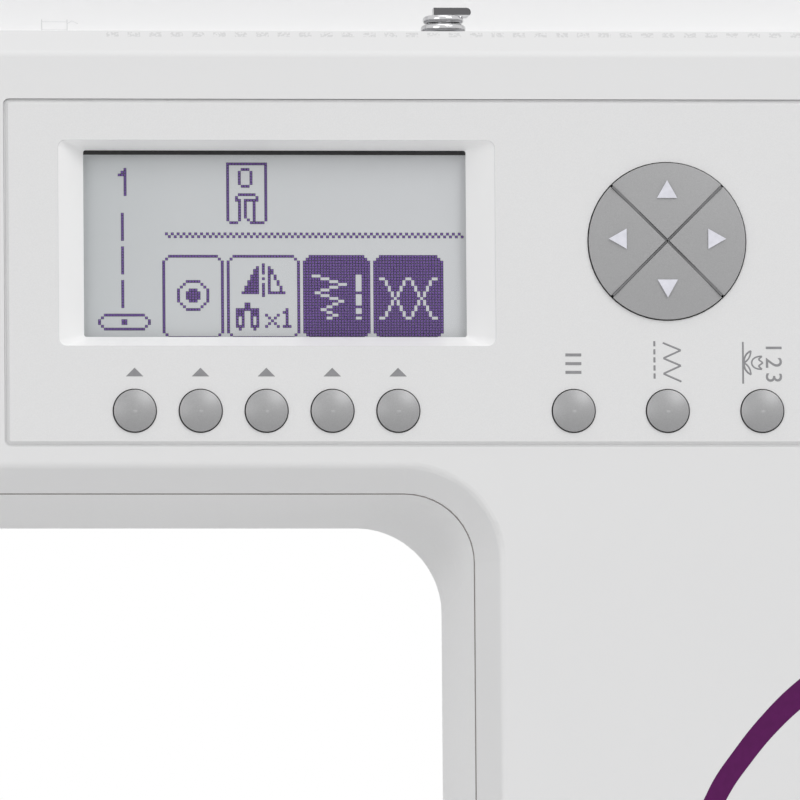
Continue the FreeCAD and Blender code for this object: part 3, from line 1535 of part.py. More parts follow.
def make_rotary_hook():
    """The horizontal hook: an open cup on an upright shaft with its gear."""
    at = (s.needle_place, hook_y)
    cup = rod("hook_cup", "z", at, s.hook_radius, (s.hook_bottom, s.hook_top))
    hollow = rod("hook_hollow", "z", at, s.hook_radius - s.hook_wall, (s.hook_bottom + 2, s.hook_top + 1))
    window = block("hook_window", (s.needle_place + 4, s.needle_place + 12), (hook_y - 20, hook_y - 6),
                   (s.hook_bottom + 6, s.hook_top + 1))
    shaft_low = s.free_arm_bottom + s.base_wall + 1.2
    shaft = rod("hook_shaft", "z", at, s.hook_shaft_radius, (shaft_low, s.hook_bottom + 1))
    half = s.gear_width / 2
    gear = toothed_wheel("hook_gear", "z", at, s.hook_gear_radius,
                         (s.lower_shaft_height - half, s.lower_shaft_height + half), 12)
    keep(join("hook_whole", carve("hook_open_cup", cup, hollow, window), shaft, gear), "rotary_hook")


def make_bobbin_case():
    """The still inner case that holds the bobbin, hung in the hook."""
    at = (s.needle_place, hook_y)
    low = s.hook_bottom + 2 + s.case_play
    outer = s.hook_radius - s.hook_wall - s.case_play
    cup = rod("case_cup", "z", at, outer, (low, s.hook_top + 0.8))
    hollow = rod("case_hollow", "z", at, s.bobbin_radius + s.case_play, (low + 1.5, s.hook_top + 2))
    ear = block("case_ear", (s.needle_place + 6, s.needle_place + 19.0), (hook_y - 4, hook_y + 2),
                (s.hook_top + s.case_play, s.hook_top + s.case_play + 1.5))
    inner = rod("case_bore", "z", at, s.bobbin_radius + s.case_play + 0.2, (low + 1.5, s.hook_top + 4))
    eared = join("case_joined", carve("case_open", cup, hollow), ear)
    keep(carve("case_whole", eared, inner), "bobbin_case")


def make_bobbin():
    at = (s.needle_place, hook_y)
    low = s.hook_bottom + 2 + s.case_play + 1.5 + 0.2
    high = low + s.bobbin_height
    radius = s.bobbin_radius
    whole = rod("bobbin_blank", "z", at, radius, (low, high))
    ring_outer = rod("bobbin_ring_outer", "z", at, radius + 1, (low + 1.2, high - 1.2))
    ring_inner = rod("bobbin_ring_inner", "z", at, 4.5, (low, high))
    winding = carve("bobbin_ring", ring_outer, ring_inner)
    bore = rod("bobbin_bore", "z", at, 3.1, (low - 1, high + 1))
    keep(carve("bobbin_whole", whole, winding, bore), "bobbin")


def belt(name, first, second, place_x, width):
    """A flat belt round two pulleys, each given as y, z and radius."""
    (y1, z1, r1), (y2, z2, r2) = [[as_size(v).number for v in pulley] for pulley in (first, second)]
    gap, thick = s.belt_gap.number, s.belt_thick.number
    across = math.hypot(y2 - y1, z2 - z1)
    heading = math.atan2(z2 - z1, y2 - y1)

    def loop(extra):
        big, small = r1 + extra, r2 + extra
        lean = math.acos((big - small) / across)

        def point(cy, cz, radius, angle):
            return Vector(0, cy + radius * math.cos(angle), cz + radius * math.sin(angle))

        up, down = heading + lean, heading - lean
        start = point(y1, z1, big, up)
        far = point(y1, z1, big, heading + math.pi)
        end = point(y1, z1, big, down)
        back_end = point(y2, z2, small, down)
        tip = point(y2, z2, small, heading)
        back_start = point(y2, z2, small, up)
        edges = [
            Part.Arc(start, far, end).toShape(),
            Part.LineSegment(end, back_end).toShape(),
            Part.Arc(back_end, tip, back_start).toShape(),
            Part.LineSegment(back_start, start).toShape(),
        ]
        return Part.Face(Part.Wire(edges))

    wide = as_size(width).number
    ring = loop(gap + thick).cut(loop(gap)).extrude(Vector(wide, 0, 0))
    ring.translate(Vector(as_size(place_x).number - wide / 2, 0, 0))
    feature = doc.addObject("Part::Feature", name)
    feature.Shape = ring.Solids[0]
    return feature


def make_belts():
    timing = belt("timing_belt", (s.shaft_depth, s.main_shaft_height, s.timing_pulley_radius),
                  (s.shaft_depth, s.lower_shaft_height, s.timing_pulley_radius),
                  s.timing_pulley_place, s.pulley_width - 1)
    drive = belt("motor_belt", (s.shaft_depth, s.main_shaft_height, s.drive_pulley_radius),
                 (s.motor_depth, s.motor_height, s.motor_pulley_radius),
                 s.drive_pulley_place, s.pulley_width - 1)
    return keep(group("drive_belts_group", timing, drive), "drive_belts")


def make_motor():
    at = (s.motor_depth, s.motor_height)
    left, right = motor_right - s.motor_length, motor_right
    can = rod("motor_can", "x", at, s.motor_radius, (left, right))
    rounded = soften("motor_can_round", can, 2.5)
    nose = rod("motor_nose", "x", at, 9, (right - 1, right + 3))
    bore = rod("motor_bore", "x", at, s.motor_shaft_radius + s.running_gap, (right - 8, right + 4))
    z = s.motor_height
    mount = block("motor_mount", (left + 10, right - 10), (s.motor_depth + 10, s.web_front),
                  (z - 14, z + 14))
    keep(carve("motor_whole", join("motor_joined", rounded, nose, mount), bore), "motor")


def make_motor_pulley():
    at = (s.motor_depth, s.motor_height)
    half = s.pulley_width / 2
    spindle = rod("pulley_spindle", "x", at, s.motor_shaft_radius,
                  (motor_right - 7.5, s.drive_pulley_place + half + 3))
    wheel = rod("pulley_wheel", "x", at, s.motor_pulley_radius,
                (s.drive_pulley_place - half, s.drive_pulley_place + half))
    keep(join("motor_pulley_whole", spindle, wheel), "motor_pulley")


def make_handwheel():
    """The balance wheel with grip ribs round its rim."""
    at = (s.shaft_depth, s.main_shaft_height)
    left, right = s.body_right + s.wheel_gap, s.wheel_right
    disc = rod("wheel_disc", "x", at, s.wheel_radius, (left, right))
    rounded = soften("wheel_disc_round", disc, 3)
    dish = cone("wheel_dish", "x", at, (s.wheel_radius - 12, s.wheel_radius - 8), (right - 3, right + 1))
    back = carve("wheel_back_hollow",
                 rod("wheel_back_outer", "x", at, s.wheel_radius - 5, (left - 1, left + 12)),
                 rod("wheel_back_hub", "x", at, s.wheel_hub_radius, (left - 2, left + 13)))
    bore = rod("wheel_bore", "x", at, s.main_shaft_radius + 0.02, (left - 1, left + s.wheel_grip + 0.02))
    grooves = []
    count = s.wheel_rib_count.number
    for i in range(int(count)):
        turn = 2 * math.pi * i / count
        reach = s.wheel_radius + s.wheel_rib_radius * 0.45
        middle = (s.shaft_depth + reach * math.cos(turn), s.main_shaft_height + reach * math.sin(turn))
        grooves.append(rod(f"wheel_groove_{i}", "x", middle, s.wheel_rib_radius, (left + 3, right - 4)))
    keep(carve("wheel_whole", rounded, dish, back, bore, *grooves), "handwheel")


# ---------------------------------------------------------------------------
# Needle, presser foot and feed
# ---------------------------------------------------------------------------
def make_needle_bar():
    """The needle bar with its thread clamp and the rod that meets the crank."""
    x, y = s.needle_place, s.shaft_depth
    bar = rod("needle_rod", "z", (x, y), s.needle_bar_radius, (s.needle_bar_bottom, s.needle_bar_top))
    clamp = rod("needle_clamp", "z", (x, y), s.needle_bar_radius + 1.5,
                (s.needle_bar_bottom - 2, s.needle_bar_bottom + 9))
    screw = rod("clamp_screw", "x", (y, s.needle_bar_bottom + 3.5), 2.2, (x, x + s.clamp_screw_length))
    needle_bore = rod("clamp_bore", "z", (x, y), s.needle_radius + 0.22,
                      (s.needle_bar_bottom - 3, s.needle_bar_bottom + 8))
    rod_right = s.crank_face - s.crank_pin_length - 1
    block_low = s.needle_bar_top - s.needle_carrier_drop
    block_z = (block_low, block_low + s.needle_carrier_height)
    carrier = block("bar_carrier", (x - 6, rod_right), (y - 6, y + 6), block_z)
    top = s.main_shaft_height + s.crank_throw
    link = block("link_rod", (rod_right - 5, rod_right), (y - 4, y + 4), (block_low + 6, top))
    eye = rod("link_eye", "x", (y, top), 6, (rod_right - 5, rod_right))
    bore = s.crank_pin_radius + s.running_gap
    hole = rod("link_bore", "x", (y, top), bore, (rod_right - 6, rod_right + 1))
    joined = join("needle_bar_joined", bar, clamp, screw, carrier, link, eye)
    keep(carve("needle_bar_whole", joined, needle_bore, hole), "needle_bar")


def make_needle():
    at = (s.needle_place, s.shaft_depth)
    shank_low = s.needle_bar_bottom - 4
    shank = rod("needle_shank", "z", at, s.needle_radius + 0.2, (shank_low, s.needle_bar_bottom + 7.9))
    blade = rod("needle_blade", "z", at, s.needle_radius * 0.6, (s.needle_tip + 3, shank_low))
    point = cone("needle_point", "z", at, (0.08, s.needle_radius * 0.6), (s.needle_tip, s.needle_tip + 3))
    keep(join("needle_whole", shank, blade, point), "needle")


def make_take_up_lever():
    """The lever that pulls the thread up, with an eye that shows in the front slot."""
    x, y, z = s.take_up_place, s.shaft_depth, s.take_up_height
    half = s.take_up_thick / 2
    tilt = math.radians(SIZES["take_up_tilt"])
    reach = s.take_up_reach
    half_arm = 3.0
    hub = rod("lever_hub", "x", (y, z), s.take_up_pin_radius + 4, (x - half, x + half))
    arm = block("lever_arm", (0, s.take_up_thick), (0, reach), (0, 2 * half_arm))
    arm.Placement = FreeCAD.Placement(Vector(), Rotation(Vector(1, 0, 0), 180 - SIZES["take_up_tilt"]))
    place(arm, x - half, y + half_arm * math.sin(tilt), z + half_arm * math.cos(tilt))
    tip = (y - reach * math.cos(tilt), z + reach * math.sin(tilt))
    eye = rod("lever_eye", "x", tip, 4.2, (x - half, x + half))
    eye_bore = rod("lever_eye_bore", "x", tip, 1.6, (x - half - 1, x + half + 1))
    bore = rod("lever_bore", "x", (y, z), s.take_up_pin_radius + s.running_gap, (x - half - 1, x + half + 1))
    keep(carve("lever_whole", join("lever_joined", hub, arm, eye), bore, eye_bore), "take_up_lever")


def make_presser_bar():
    x, y = s.needle_place, s.presser_depth
    bar = rod("presser_rod", "z", (x, y), s.presser_bar_radius, (s.presser_bar_bottom, s.presser_bar_top))
    collar = rod("presser_collar", "z", (x, y), s.collar_radius,
                 (s.collar_height, s.collar_height + s.collar_thick))
    keep(join("presser_bar_whole", bar, collar), "presser_bar")


def make_presser_foot():
    """The shank and the sole, screwed to the presser bar, in its raised place."""
    x, y = s.needle_place, s.presser_depth
    sole_low = s.bed_top + s.foot_clearance + s.presser_lift
    front, back = s.shaft_depth - 12, s.shaft_depth + 17
    toe = block("foot_sole", (x - 7.5, x + 7.5), (front, back), (sole_low, sole_low + 2))
    rounded = soften("foot_sole_round", toe, 0.6, lambda box: box.ZMin > sole_low.number + 1)
    slot_back = s.shaft_depth + 3
    slot = block("foot_slot", (x - 2.2, x + 2.2), (front - 1, slot_back), (sole_low - 1, sole_low + 3))
    bridge_y = (s.shaft_depth + 6, back - 1)
    bridge = block("foot_bridge", (x - 3, x + 3), bridge_y, (sole_low + 1, sole_low + 9))
    shank = block("foot_shank", (x - 4, x + 4), (y - 4.5, y + 4.5), (sole_low + 8, s.presser_bar_bottom + 8))
    bore = rod("foot_bore", "z", (x, y), s.presser_bar_radius + 0.02,
               (s.presser_bar_bottom - 0.02, s.presser_bar_bottom + 9))
    screw = rod("foot_screw", "x", (y, s.presser_bar_bottom + 3), 4, (x - 12, x - 3.5))
    joined = join("foot_joined", carve("foot_open_sole", rounded, slot), bridge, shank, screw)
    keep(carve("foot_whole", joined, bore), "presser_foot")


def make_presser_spring():
    """The coil that presses the bar down, between its collar and the upper guide."""
    low = s.collar_height + s.collar_thick + s.spring_wire / 2 + 0.1
    high = s.guide_high - s.spring_wire / 2 - 0.1
    helix = doc.addObject("Part::Helix", "spring_path")
    tie(helix, "Height", high - low)
    tie(helix, "Pitch", (high - low) / 3)
    tie(helix, "Radius", s.spring_radius)
    helix.Placement = FreeCAD.Placement(Vector(), Rotation())
    doc.recompute()
    path = helix.Shape.Edges[0]
    start = path.FirstParameter
    ring = Part.Circle(path.valueAt(start), path.tangentAt(start), s.spring_wire.number / 2)
    coil = Part.Wire(path).makePipeShell([Part.Wire(ring.toShape())], True, True)
    spring = doc.addObject("Part::Feature", "spring_coil")
    spring.Shape = coil
    place(spring, s.needle_place, s.presser_depth, low)
    return keep(spring, "presser_spring")


def make_lifter_lever():
    """The lever behind the head that raises the presser foot."""
    x, z = s.lifter_place, s.lifter_height
    front, back = lifter_front, lifter_back
    hub = rod("lifter_hub", "y", (x, z), 6.5, (front, back))
    tilt = math.radians(SIZES["lifter_tilt"])
    half_arm = 3.5
    arm = block("lifter_arm", (0, s.lifter_length), (0, s.lifter_thick), (0, 2 * half_arm))
    arm.Placement = FreeCAD.Placement(Vector(), Rotation(Vector(0, 1, 0), SIZES["lifter_tilt"]))
    place(arm, x - half_arm * math.sin(tilt), front, z - half_arm * math.cos(tilt))
    tip = (x + s.lifter_length * math.cos(tilt), z - s.lifter_length * math.sin(tilt))
    pad_end = rod("lifter_pad", "y", tip, half_arm + 1.5, (front, back))
    bore = rod("lifter_bore", "y", (x, z), 3 + s.running_gap, (front - 1, back + 1))
    keep(carve("lifter_whole", join("lifter_joined", hub, arm, pad_end), bore), "lifter_lever")


def make_needle_plate():
    body = new_body("needle_plate_body")
    low, top = s.bed_top - s.plate_thick, s.bed_top
    x, y = s.needle_place, s.shaft_depth
    outline = rectangle((s.plate_left, s.plate_right), (s.plate_front, s.plate_back), s.plate_corner)
    pad(body, "plate_blank", "top", (low, top), outline)
    half = s.cover_half_width + s.plate_play
    gap = s.plate_play
    notch = rectangle((x - half, x + half), (s.cover_front - gap, s.cover_back + gap), 1.5)
    pocket(body, "plate_cover_hole", "top", (low - 1, top + 1), notch)
    front, back = s.feed_front - 0.8 + 3.4, s.feed_back + 0.8
    tooth = s.feed_tooth_width / 2 + 0.5
    offset = s.feed_half_width - s.feed_tooth_width
    slots = [
        rectangle((x + side * offset - tooth, x + side * offset + tooth), (front, back), 0.5)
        for side in (-1, 1)
    ]
    hole = rectangle((x - 2.5, x + 2.5), (y - 1.0, y + 1.0), 0.9)
    back_slot = rectangle((x - tooth, x + tooth), (y + 4.5, back), 0.5)
    pocket(body, "plate_feed_slots", "top", (low - 1, top + 1), *slots, hole, back_slot)
    for side in (-1, 1):
        screw_x = x + side * (s.plate_right - s.plate_left).number * 0.38
        pocket(body, f"plate_screw_{'left' if side < 0 else 'right'}", "top", (top - 0.5, top + 1),
               circle(screw_x, s.plate_back - 9, 3.2))
    return keep(body, "needle_plate")


def make_bobbin_cover():
    x = s.needle_place
    half = s.cover_half_width
    plate = block("cover_blank", (x - half, x + half), (s.cover_front, s.cover_back),
                  (s.bed_top - s.plate_thick, s.bed_top))
    rounded = soften("cover_round", plate, 1.3, lambda box: near(box.ZMax - box.ZMin, s.plate_thick))
    grip = rod("cover_grip", "z", (x + half - 6, s.cover_front + 7), 4, (s.bed_top - 0.6, s.bed_top + 1))
    keep(carve("cover_whole", rounded, grip), "bobbin_cover")


def make_feed_dog():
    """Three toothed rails on one carrier under the needle plate."""
    x, y = s.needle_place, s.shaft_depth
    low = s.bed_top - s.plate_thick - 2.0
    top = s.bed_top + s.feed_tooth_rise
    half = s.feed_tooth_width / 2
    offset = s.feed_half_width - s.feed_tooth_width
    front = s.feed_front + 3.4
    rails = [
        block(f"feed_rail_{i}", (x + side * offset - half, x + side * offset + half), (front, s.feed_back),
              (low, top))
        for i, side in enumerate((-1, 1), start=1)
    ]
    rails.append(block("feed_rail_3", (x - half, x + half), (y + 5.5, s.feed_back), (low, top)))
    half = s.feed_half_width
    carrier_y = (s.feed_back - 9, s.feed_back)
    carrier = block("feed_carrier", (x - half, x + half), carrier_y, (low - 2, low + 1.4))
    grooves = []
    step = 1.6
    count = int((s.feed_back - front).number / step)
    for i in range(1, count):
        grooves.append(rod(f"feed_groove_{i}", "x", (front + step * i, top + 0.2), 0.55,
                           (x - half - 1, x + half + 1)))
    keep(carve("feed_whole", join("feed_joined", *rails, carrier), *grooves), "feed_dog")


# ---------------------------------------------------------------------------
# Thread deck and lamp
# ---------------------------------------------------------------------------
def make_winder():
    """The bobbin winder: a carriage that slides to its stop and a spindle that spins on it."""
    x, y = s.winder_place, s.winder_depth
    deck_low, deck_top = s.deck_height, s.deck_height + s.deck_thick
    collar = s.winder_radius
    plate = block("carriage_plate", (x - 9, x + 9), (y - 8, y + 8), (deck_low - 2.3, deck_low - 0.3))
    post = rod("carriage_post", "z", (x, y), collar + 0.6, (deck_low - 1, deck_top + 0.6))
    bore = rod("carriage_bore", "z", (x, y), collar - 1 + s.running_gap, (deck_low - 4, deck_top + 2))
    keep(carve("carriage_whole", join("carriage_joined", plate, post), bore), "winder_carriage")
    seat_low = deck_top + 0.7
    axle = rod("winder_axle", "z", (x, y), collar - 1, (deck_low - 3, seat_low + 1))
    seat = rod("winder_seat", "z", (x, y), s.winder_seat_radius, (seat_low, seat_low + 2))
    rounded = soften("winder_seat_round", seat, 0.6, lambda box: near(box.ZMax, seat_low + 2))
    pin = rod("winder_pin", "z", (x, y), collar, (seat_low + 1, s.winder_top))
    pin_round = soften("winder_pin_round", pin, 1.2, lambda box: flat_at(box.ZMin, box.ZMax, s.winder_top))
    key_x = (x + collar - 0.5, x + collar + 0.6)
    key = block("winder_key", key_x, (y - 0.4, y + 0.4), (seat_low + 1, seat_low + 9))
    keep(join("winder_whole", axle, rounded, pin_round, key), "winder_spindle")


def make_spool_pin():
    """The lying spool pin, which lifts at its right end to take a spool."""
    y, z = s.spool_depth, s.spool_pin_height
    left = s.spool_pin_left
    hub_x = left - 6
    pin = rod("spool_rod", "x", (y, z), s.spool_pin_radius, (hub_x, s.spool_pin_right))
    end = s.spool_pin_right
    pin_round = soften("spool_rod_round", pin, 1.0, lambda box: flat_at(box.XMin, box.XMax, end))
    barrel = rod("spool_barrel", "y", (hub_x, z), 3.6, (y - 4.7, y + 4.7))
    plate = rod("spool_plate", "x", (y, z), s.spool_plate_radius, (left, left + 2))
    reach = s.spool_post_reach
    axle = rod("spool_axle", "y", (hub_x, z), 1.5, (y - reach, y + reach))
    keep(join("spool_pin_whole", pin_round, barrel, plate, axle), "spool_pin")
    cap_left = s.spool_pin_right - s.spool_cap_inset
    cap = rod("spool_cap_disc", "x", (y, z), s.spool_cap_radius, (cap_left, cap_left + 3))
    cap_round = soften("spool_cap_round", cap, 1.2)
    neck_right = cap_left + s.spool_cap_length
    radii = (s.spool_neck_radius, s.spool_neck_radius - 2)
    neck = cone("spool_cap_neck", "x", (y, z), radii, (cap_left + 2, neck_right))
    bore_radius = s.spool_pin_radius + s.running_gap
    bore = rod("spool_cap_bore", "x", (y, z), bore_radius, (cap_left - 1, neck_right + 2))
    keep(carve("spool_cap_whole", join("spool_cap_joined", cap_round, neck), bore), "spool_cap")


def make_winder_tension():
    """The polished thread guide on the deck: a post, two discs and a hook."""
    x, y = s.stud_place, s.stud_depth
    top = s.stud_top
    deck_low = s.deck_height
    post = rod("stud_post", "z", (x, y), s.stud_post_radius, (deck_low - 2, top))
    foot = rod("stud_foot", "z", (x, y), s.stud_radius + 1.5,
               (deck_low + s.deck_thick, deck_low + s.deck_thick + 3))
    lower = rod("stud_lower_disc", "z", (x, y), s.stud_radius, (top - 3.4, top - 1.8))
    lower_round = soften("stud_lower_round", lower, 0.7)
    column = rod("stud_column", "z", (x, y), s.stud_radius - 0.6, (deck_low + s.deck_thick + 2, top - 3.8))
    upper = rod("stud_upper_disc", "z", (x, y), s.stud_radius - 0.4, (top - 1.6, top))
    upper_round = soften("stud_upper_round", upper, 0.75)
    arm = block("stud_hook_arm", (x - 2, x + 4.6), (y - 1.6, y + 1.6), (top + 0.4 - 0.6, top + 1.6))
    arm_end = rod("stud_hook_end", "y", (x + 4.6, top + 0.7), 0.9, (y - 1.6, y + 1.6))
    keep(join("stud_whole", post, foot, lower_round, column, upper_round, arm, arm_end), "winder_tension")


def make_lamp():
    left = s.body_left + 24
    low = s.head_bottom + s.rear_wall
    y = s.shaft_depth - 1
    housing = block("lamp_housing", (left - 4, left + 16), (y - 11, y + 11), (low + 0.1, low + 7))
    lens = block("lamp_lens", (left + 0.4, left + 11.6), (y - 7.6, y + 7.6), (low - 2, low + 1))
    keep(join("lamp_whole", housing, lens), "lamp")


def make_cover_screws():
    screws = []
    head_back = s.arm_back - 1
    for i, (x, z) in enumerate(SCREW_PLACES, start=1):
        head_front = head_back - s.screw_head
        head = rod(f"screw_head_{i}", "y", (x, z), s.screw_head_radius, (head_front, head_back))
        shank = rod(f"screw_shank_{i}", "y", (x, z), s.screw_radius, (s.web_front + 0.5, head_front + 1))
        slot_y = (head_back - 1.2, head_back + 1)
        slot_a = block(f"screw_slot_{i}", (x - 2.2, x + 2.2), slot_y, (z - 0.5, z + 0.5))
        slot_b = block(f"screw_cross_{i}", (x - 0.5, x + 0.5), slot_y, (z - 2.2, z + 2.2))
        screws.append(carve(f"screw_{i}", join(f"screw_joined_{i}", head, shank), slot_a, slot_b))
    return keep(group("cover_screws_group", *screws), "cover_screws")


# ---------------------------------------------------------------------------
# The whole machine
# ---------------------------------------------------------------------------
def check_and_write():
    """Stop on any failed object, then write one STEP file per sub-part."""
    doc.recompute()
    faults = []
    for thing in doc.Objects:
        if "Invalid" in thing.State or "Error" in thing.State:
            faults.append(f"{thing.Name} is {thing.State}")
    for before, feature in CUTS:
        if not faults and feature.Shape.Volume > before.Shape.Volume - 0.001:
            faults.append(f"{feature.Name} cuts nothing")
    for part in SUBPARTS:
        if part.Shape.isNull() or not part.Shape.isValid():
            faults.append(f"{part.Label} has no valid shape")
    if faults:
        raise RuntimeError("; ".join(faults))
    os.makedirs("parts", exist_ok=True)
    for part in SUBPARTS:
        part.Shape.exportStep(f"parts/{part.Label}.step")
    print(len(SUBPARTS), "sub-parts")


def main():
    make_front_cover()
    make_rear_cover()
    make_top_deck()
    make_base_pan()
    make_rubber_feet()
    make_base_cover()
    make_accessory_box()
    make_accessory_flap()
    make_lid()
    make_control_panel()
    make_display()
    make_keys()
    make_head_buttons()
    make_pad_sectors()
    make_circuit_boards()
    make_speed_slider()
    make_tension_dial()
    make_power_switch()
    make_power_inlet()
    make_casting()
    make_bushings()
    make_main_shaft()
    make_lower_shaft()
    make_rotary_hook()
    make_bobbin_case()
    make_bobbin()
    make_belts()
    make_motor()
    make_motor_pulley()
    make_handwheel()
    make_needle_bar()
    make_needle()
    make_take_up_lever()
    make_presser_bar()
    make_presser_foot()
    make_presser_spring()
    make_lifter_lever()
    make_needle_plate()
    make_bobbin_cover()
    make_feed_dog()
    make_winder()
    make_spool_pin()
    make_winder_tension()
    make_lamp()
    make_cover_screws()
    check_and_write()


main()
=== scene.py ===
import math

import bpy
from mathutils import Matrix, Vector


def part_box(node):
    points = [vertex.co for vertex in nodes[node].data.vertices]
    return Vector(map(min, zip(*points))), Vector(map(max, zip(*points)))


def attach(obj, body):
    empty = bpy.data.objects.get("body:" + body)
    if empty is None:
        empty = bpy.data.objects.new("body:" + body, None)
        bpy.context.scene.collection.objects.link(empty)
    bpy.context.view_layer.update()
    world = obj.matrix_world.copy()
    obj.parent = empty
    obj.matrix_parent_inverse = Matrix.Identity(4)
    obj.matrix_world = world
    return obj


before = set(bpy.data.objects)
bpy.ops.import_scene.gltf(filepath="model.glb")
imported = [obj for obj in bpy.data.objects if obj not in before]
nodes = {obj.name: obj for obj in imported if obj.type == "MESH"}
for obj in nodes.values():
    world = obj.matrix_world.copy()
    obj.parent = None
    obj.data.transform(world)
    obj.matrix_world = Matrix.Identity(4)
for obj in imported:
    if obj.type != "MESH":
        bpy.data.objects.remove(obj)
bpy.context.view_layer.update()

MM = 0.001                  # lengths are in metres
bpy.ops.object.select_all(action="DESELECT")


# ---------------------------------------------------------------------------
# Places on the machine, taken from its parts
# ---------------------------------------------------------------------------
cover_low, cover_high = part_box("front_cover")
lens_low, lens_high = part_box("display_lens")
module_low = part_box("display_module")[0]
lid_low, lid_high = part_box("lid")

front_face = cover_low.y
PRINT_RISE = 0.06 * MM      # how thick a print is
DIGIT_HIGH = 3.4 * MM


def middle(node):
    """The middle of a part's box."""
    low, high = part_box(node)
    return (low + high) / 2


# ---------------------------------------------------------------------------
# Materials
# ---------------------------------------------------------------------------
# Nearly all of a noise texture lies between these.
NOISE_LOW, NOISE_HIGH = 0.3, 0.7
# How high the finest relief stands.
SPARK_HEIGHT, CUT_HEIGHT, RUBBER_HEIGHT = 0.04 * MM, 0.03 * MM, 0.1 * MM
# Waves of noise per metre.
DRIFT_SCALE, CLOUD_SCALE, FLAKE_SCALE, INK_SCALE, RUBBER_SCALE = 9, 30, 5200, 700, 900


def find_shader(tree):
    """The shader that a material's other nodes feed."""
    return tree.nodes["Principled BSDF"]


def new_material(name):
    """A new material, its node tree and its shader."""
    material = bpy.data.materials.new(name)
    material.use_nodes = True
    return material, material.node_tree, find_shader(material.node_tree)


def add_noise(tree, scale, detail=3, stretch=None):
    """Noise that is fixed to the piece, at so many waves per metre."""
    place = tree.nodes.new("ShaderNodeTexCoord").outputs["Object"]
    if stretch:
        mapping = tree.nodes.new("ShaderNodeMapping")
        mapping.inputs["Scale"].default_value = stretch
        tree.links.new(place, mapping.inputs["Vector"])
        place = mapping.outputs["Vector"]
    noise = tree.nodes.new("ShaderNodeTexNoise")
    noise.inputs["Scale"].default_value = scale
    noise.inputs["Detail"].default_value = detail
    tree.links.new(place, noise.inputs["Vector"])
    return noise.outputs["Fac"]


def shade_between(tree, source, low, high, socket):
    """Carry a 0 to 1 texture to a socket, within two limits."""
    spread = tree.nodes.new("ShaderNodeMapRange")
    spread.inputs["From Min"].default_value = NOISE_LOW
    spread.inputs["From Max"].default_value = NOISE_HIGH
    spread.inputs["To Min"].default_value = low
    spread.inputs["To Max"].default_value = high
    tree.links.new(source, spread.inputs["Value"])
    tree.links.new(spread.outputs["Result"], socket)


def tint_between(tree, source, first, second, socket):
    """Carry a 0 to 1 texture to a socket, as a shade between two colours."""
    ramp = tree.nodes.new("ShaderNodeValToRGB")
    ends = ramp.color_ramp.elements
    for end, position, colour in zip(ends, (NOISE_LOW, NOISE_HIGH), (first, second)):
        end.position = position
        end.color = (*colour, 1)
    tree.links.new(source, ramp.inputs["Fac"])
    tree.links.new(ramp.outputs["Color"], socket)


def raise_grain(tree, source, height, strength, shader):
    """Let a texture raise the surface."""
    bump = tree.nodes.new("ShaderNodeBump")
    bump.inputs["Strength"].default_value = strength
    bump.inputs["Distance"].default_value = height
    tree.links.new(source, bump.inputs["Height"])
    tree.links.new(bump.outputs["Normal"], shader.inputs["Normal"])


def scaled(colour, factor):
    """A colour made paler or darker."""
    return tuple(channel * factor for channel in colour)


def moulded_plastic(name, colour, rough=(0.36, 0.46), grain=1400, relief=0.12, drift=0.015):
    """Injection-moulded plastic: a fine spark texture and a slow drift of shade."""
    material, tree, shader = new_material(name)
    slow, fine = add_noise(tree, DRIFT_SCALE, 2), add_noise(tree, grain)
    tint_between(tree, slow, scaled(colour, 1 - drift), scaled(colour, 1 + drift),
                 shader.inputs["Base Color"])
    shade_between(tree, fine, *rough, shader.inputs["Roughness"])
    raise_grain(tree, fine, SPARK_HEIGHT, relief, shader)
    return material


def flake_paint(name, colour, metal, rough, flake=0.03):
    """Silver-grey finish with fine flakes."""
    vary = 0.04
    material, tree, shader = new_material(name)
    fine = add_noise(tree, FLAKE_SCALE, 1)
    tint_between(tree, fine, scaled(colour, 1 - flake), scaled(colour, 1 + flake),
                 shader.inputs["Base Color"])
    shade_between(tree, fine, rough - vary, rough + vary, shader.inputs["Roughness"])
    shader.inputs["Metallic"].default_value = metal
    return material


def calculate(tree, operation, *terms):
    """The output of one math node, whose terms are sockets or numbers."""
    node = tree.nodes.new("ShaderNodeMath")
    node.operation = operation
    for place, term in zip(node.inputs, terms):
        if isinstance(term, (int, float)):
            place.default_value = term
        else:
            tree.links.new(term, place)
    return node.outputs["Value"]


def coordinates(tree):
    """The X, Y and Z of a place on the piece."""
    place = tree.nodes.new("ShaderNodeTexCoord")
    split = tree.nodes.new("ShaderNodeSeparateXYZ")
    tree.links.new(place.outputs["Object"], split.inputs["Vector"])
    return split.outputs


def box_mask(tree, low, high):
    """1 between two corners and 0 outside."""
    inside = 1.0
    for value, start, end in zip(coordinates(tree), low, high):
        within = calculate(tree, "COMPARE", value, (start + end) / 2, (end - start) / 2)
        inside = calculate(tree, "MULTIPLY", inside, within)
    return inside


def overlay(tree, factor, colour):
    """Lay a colour over the shader's own, as far as the factor says."""
    shader = find_shader(tree)
    first = shader.inputs["Base Color"].links[0].from_socket
    mix = tree.nodes.new("ShaderNodeMix")
    mix.data_type = "RGBA"
    mix.inputs["B"].default_value = (*colour, 1)
    tree.links.new(factor, mix.inputs["Factor"])
    tree.links.new(first, mix.inputs["A"])
    tree.links.new(mix.outputs["Result"], shader.inputs["Base Color"])


def bright_recess(material, colour, low, high):
    """Painted light: a paler colour on the walls of a recess that lies between two corners, so that
    they look more brightly lit.
    """
    tree = material.node_tree
    overlay(tree, box_mask(tree, low, high), colour)


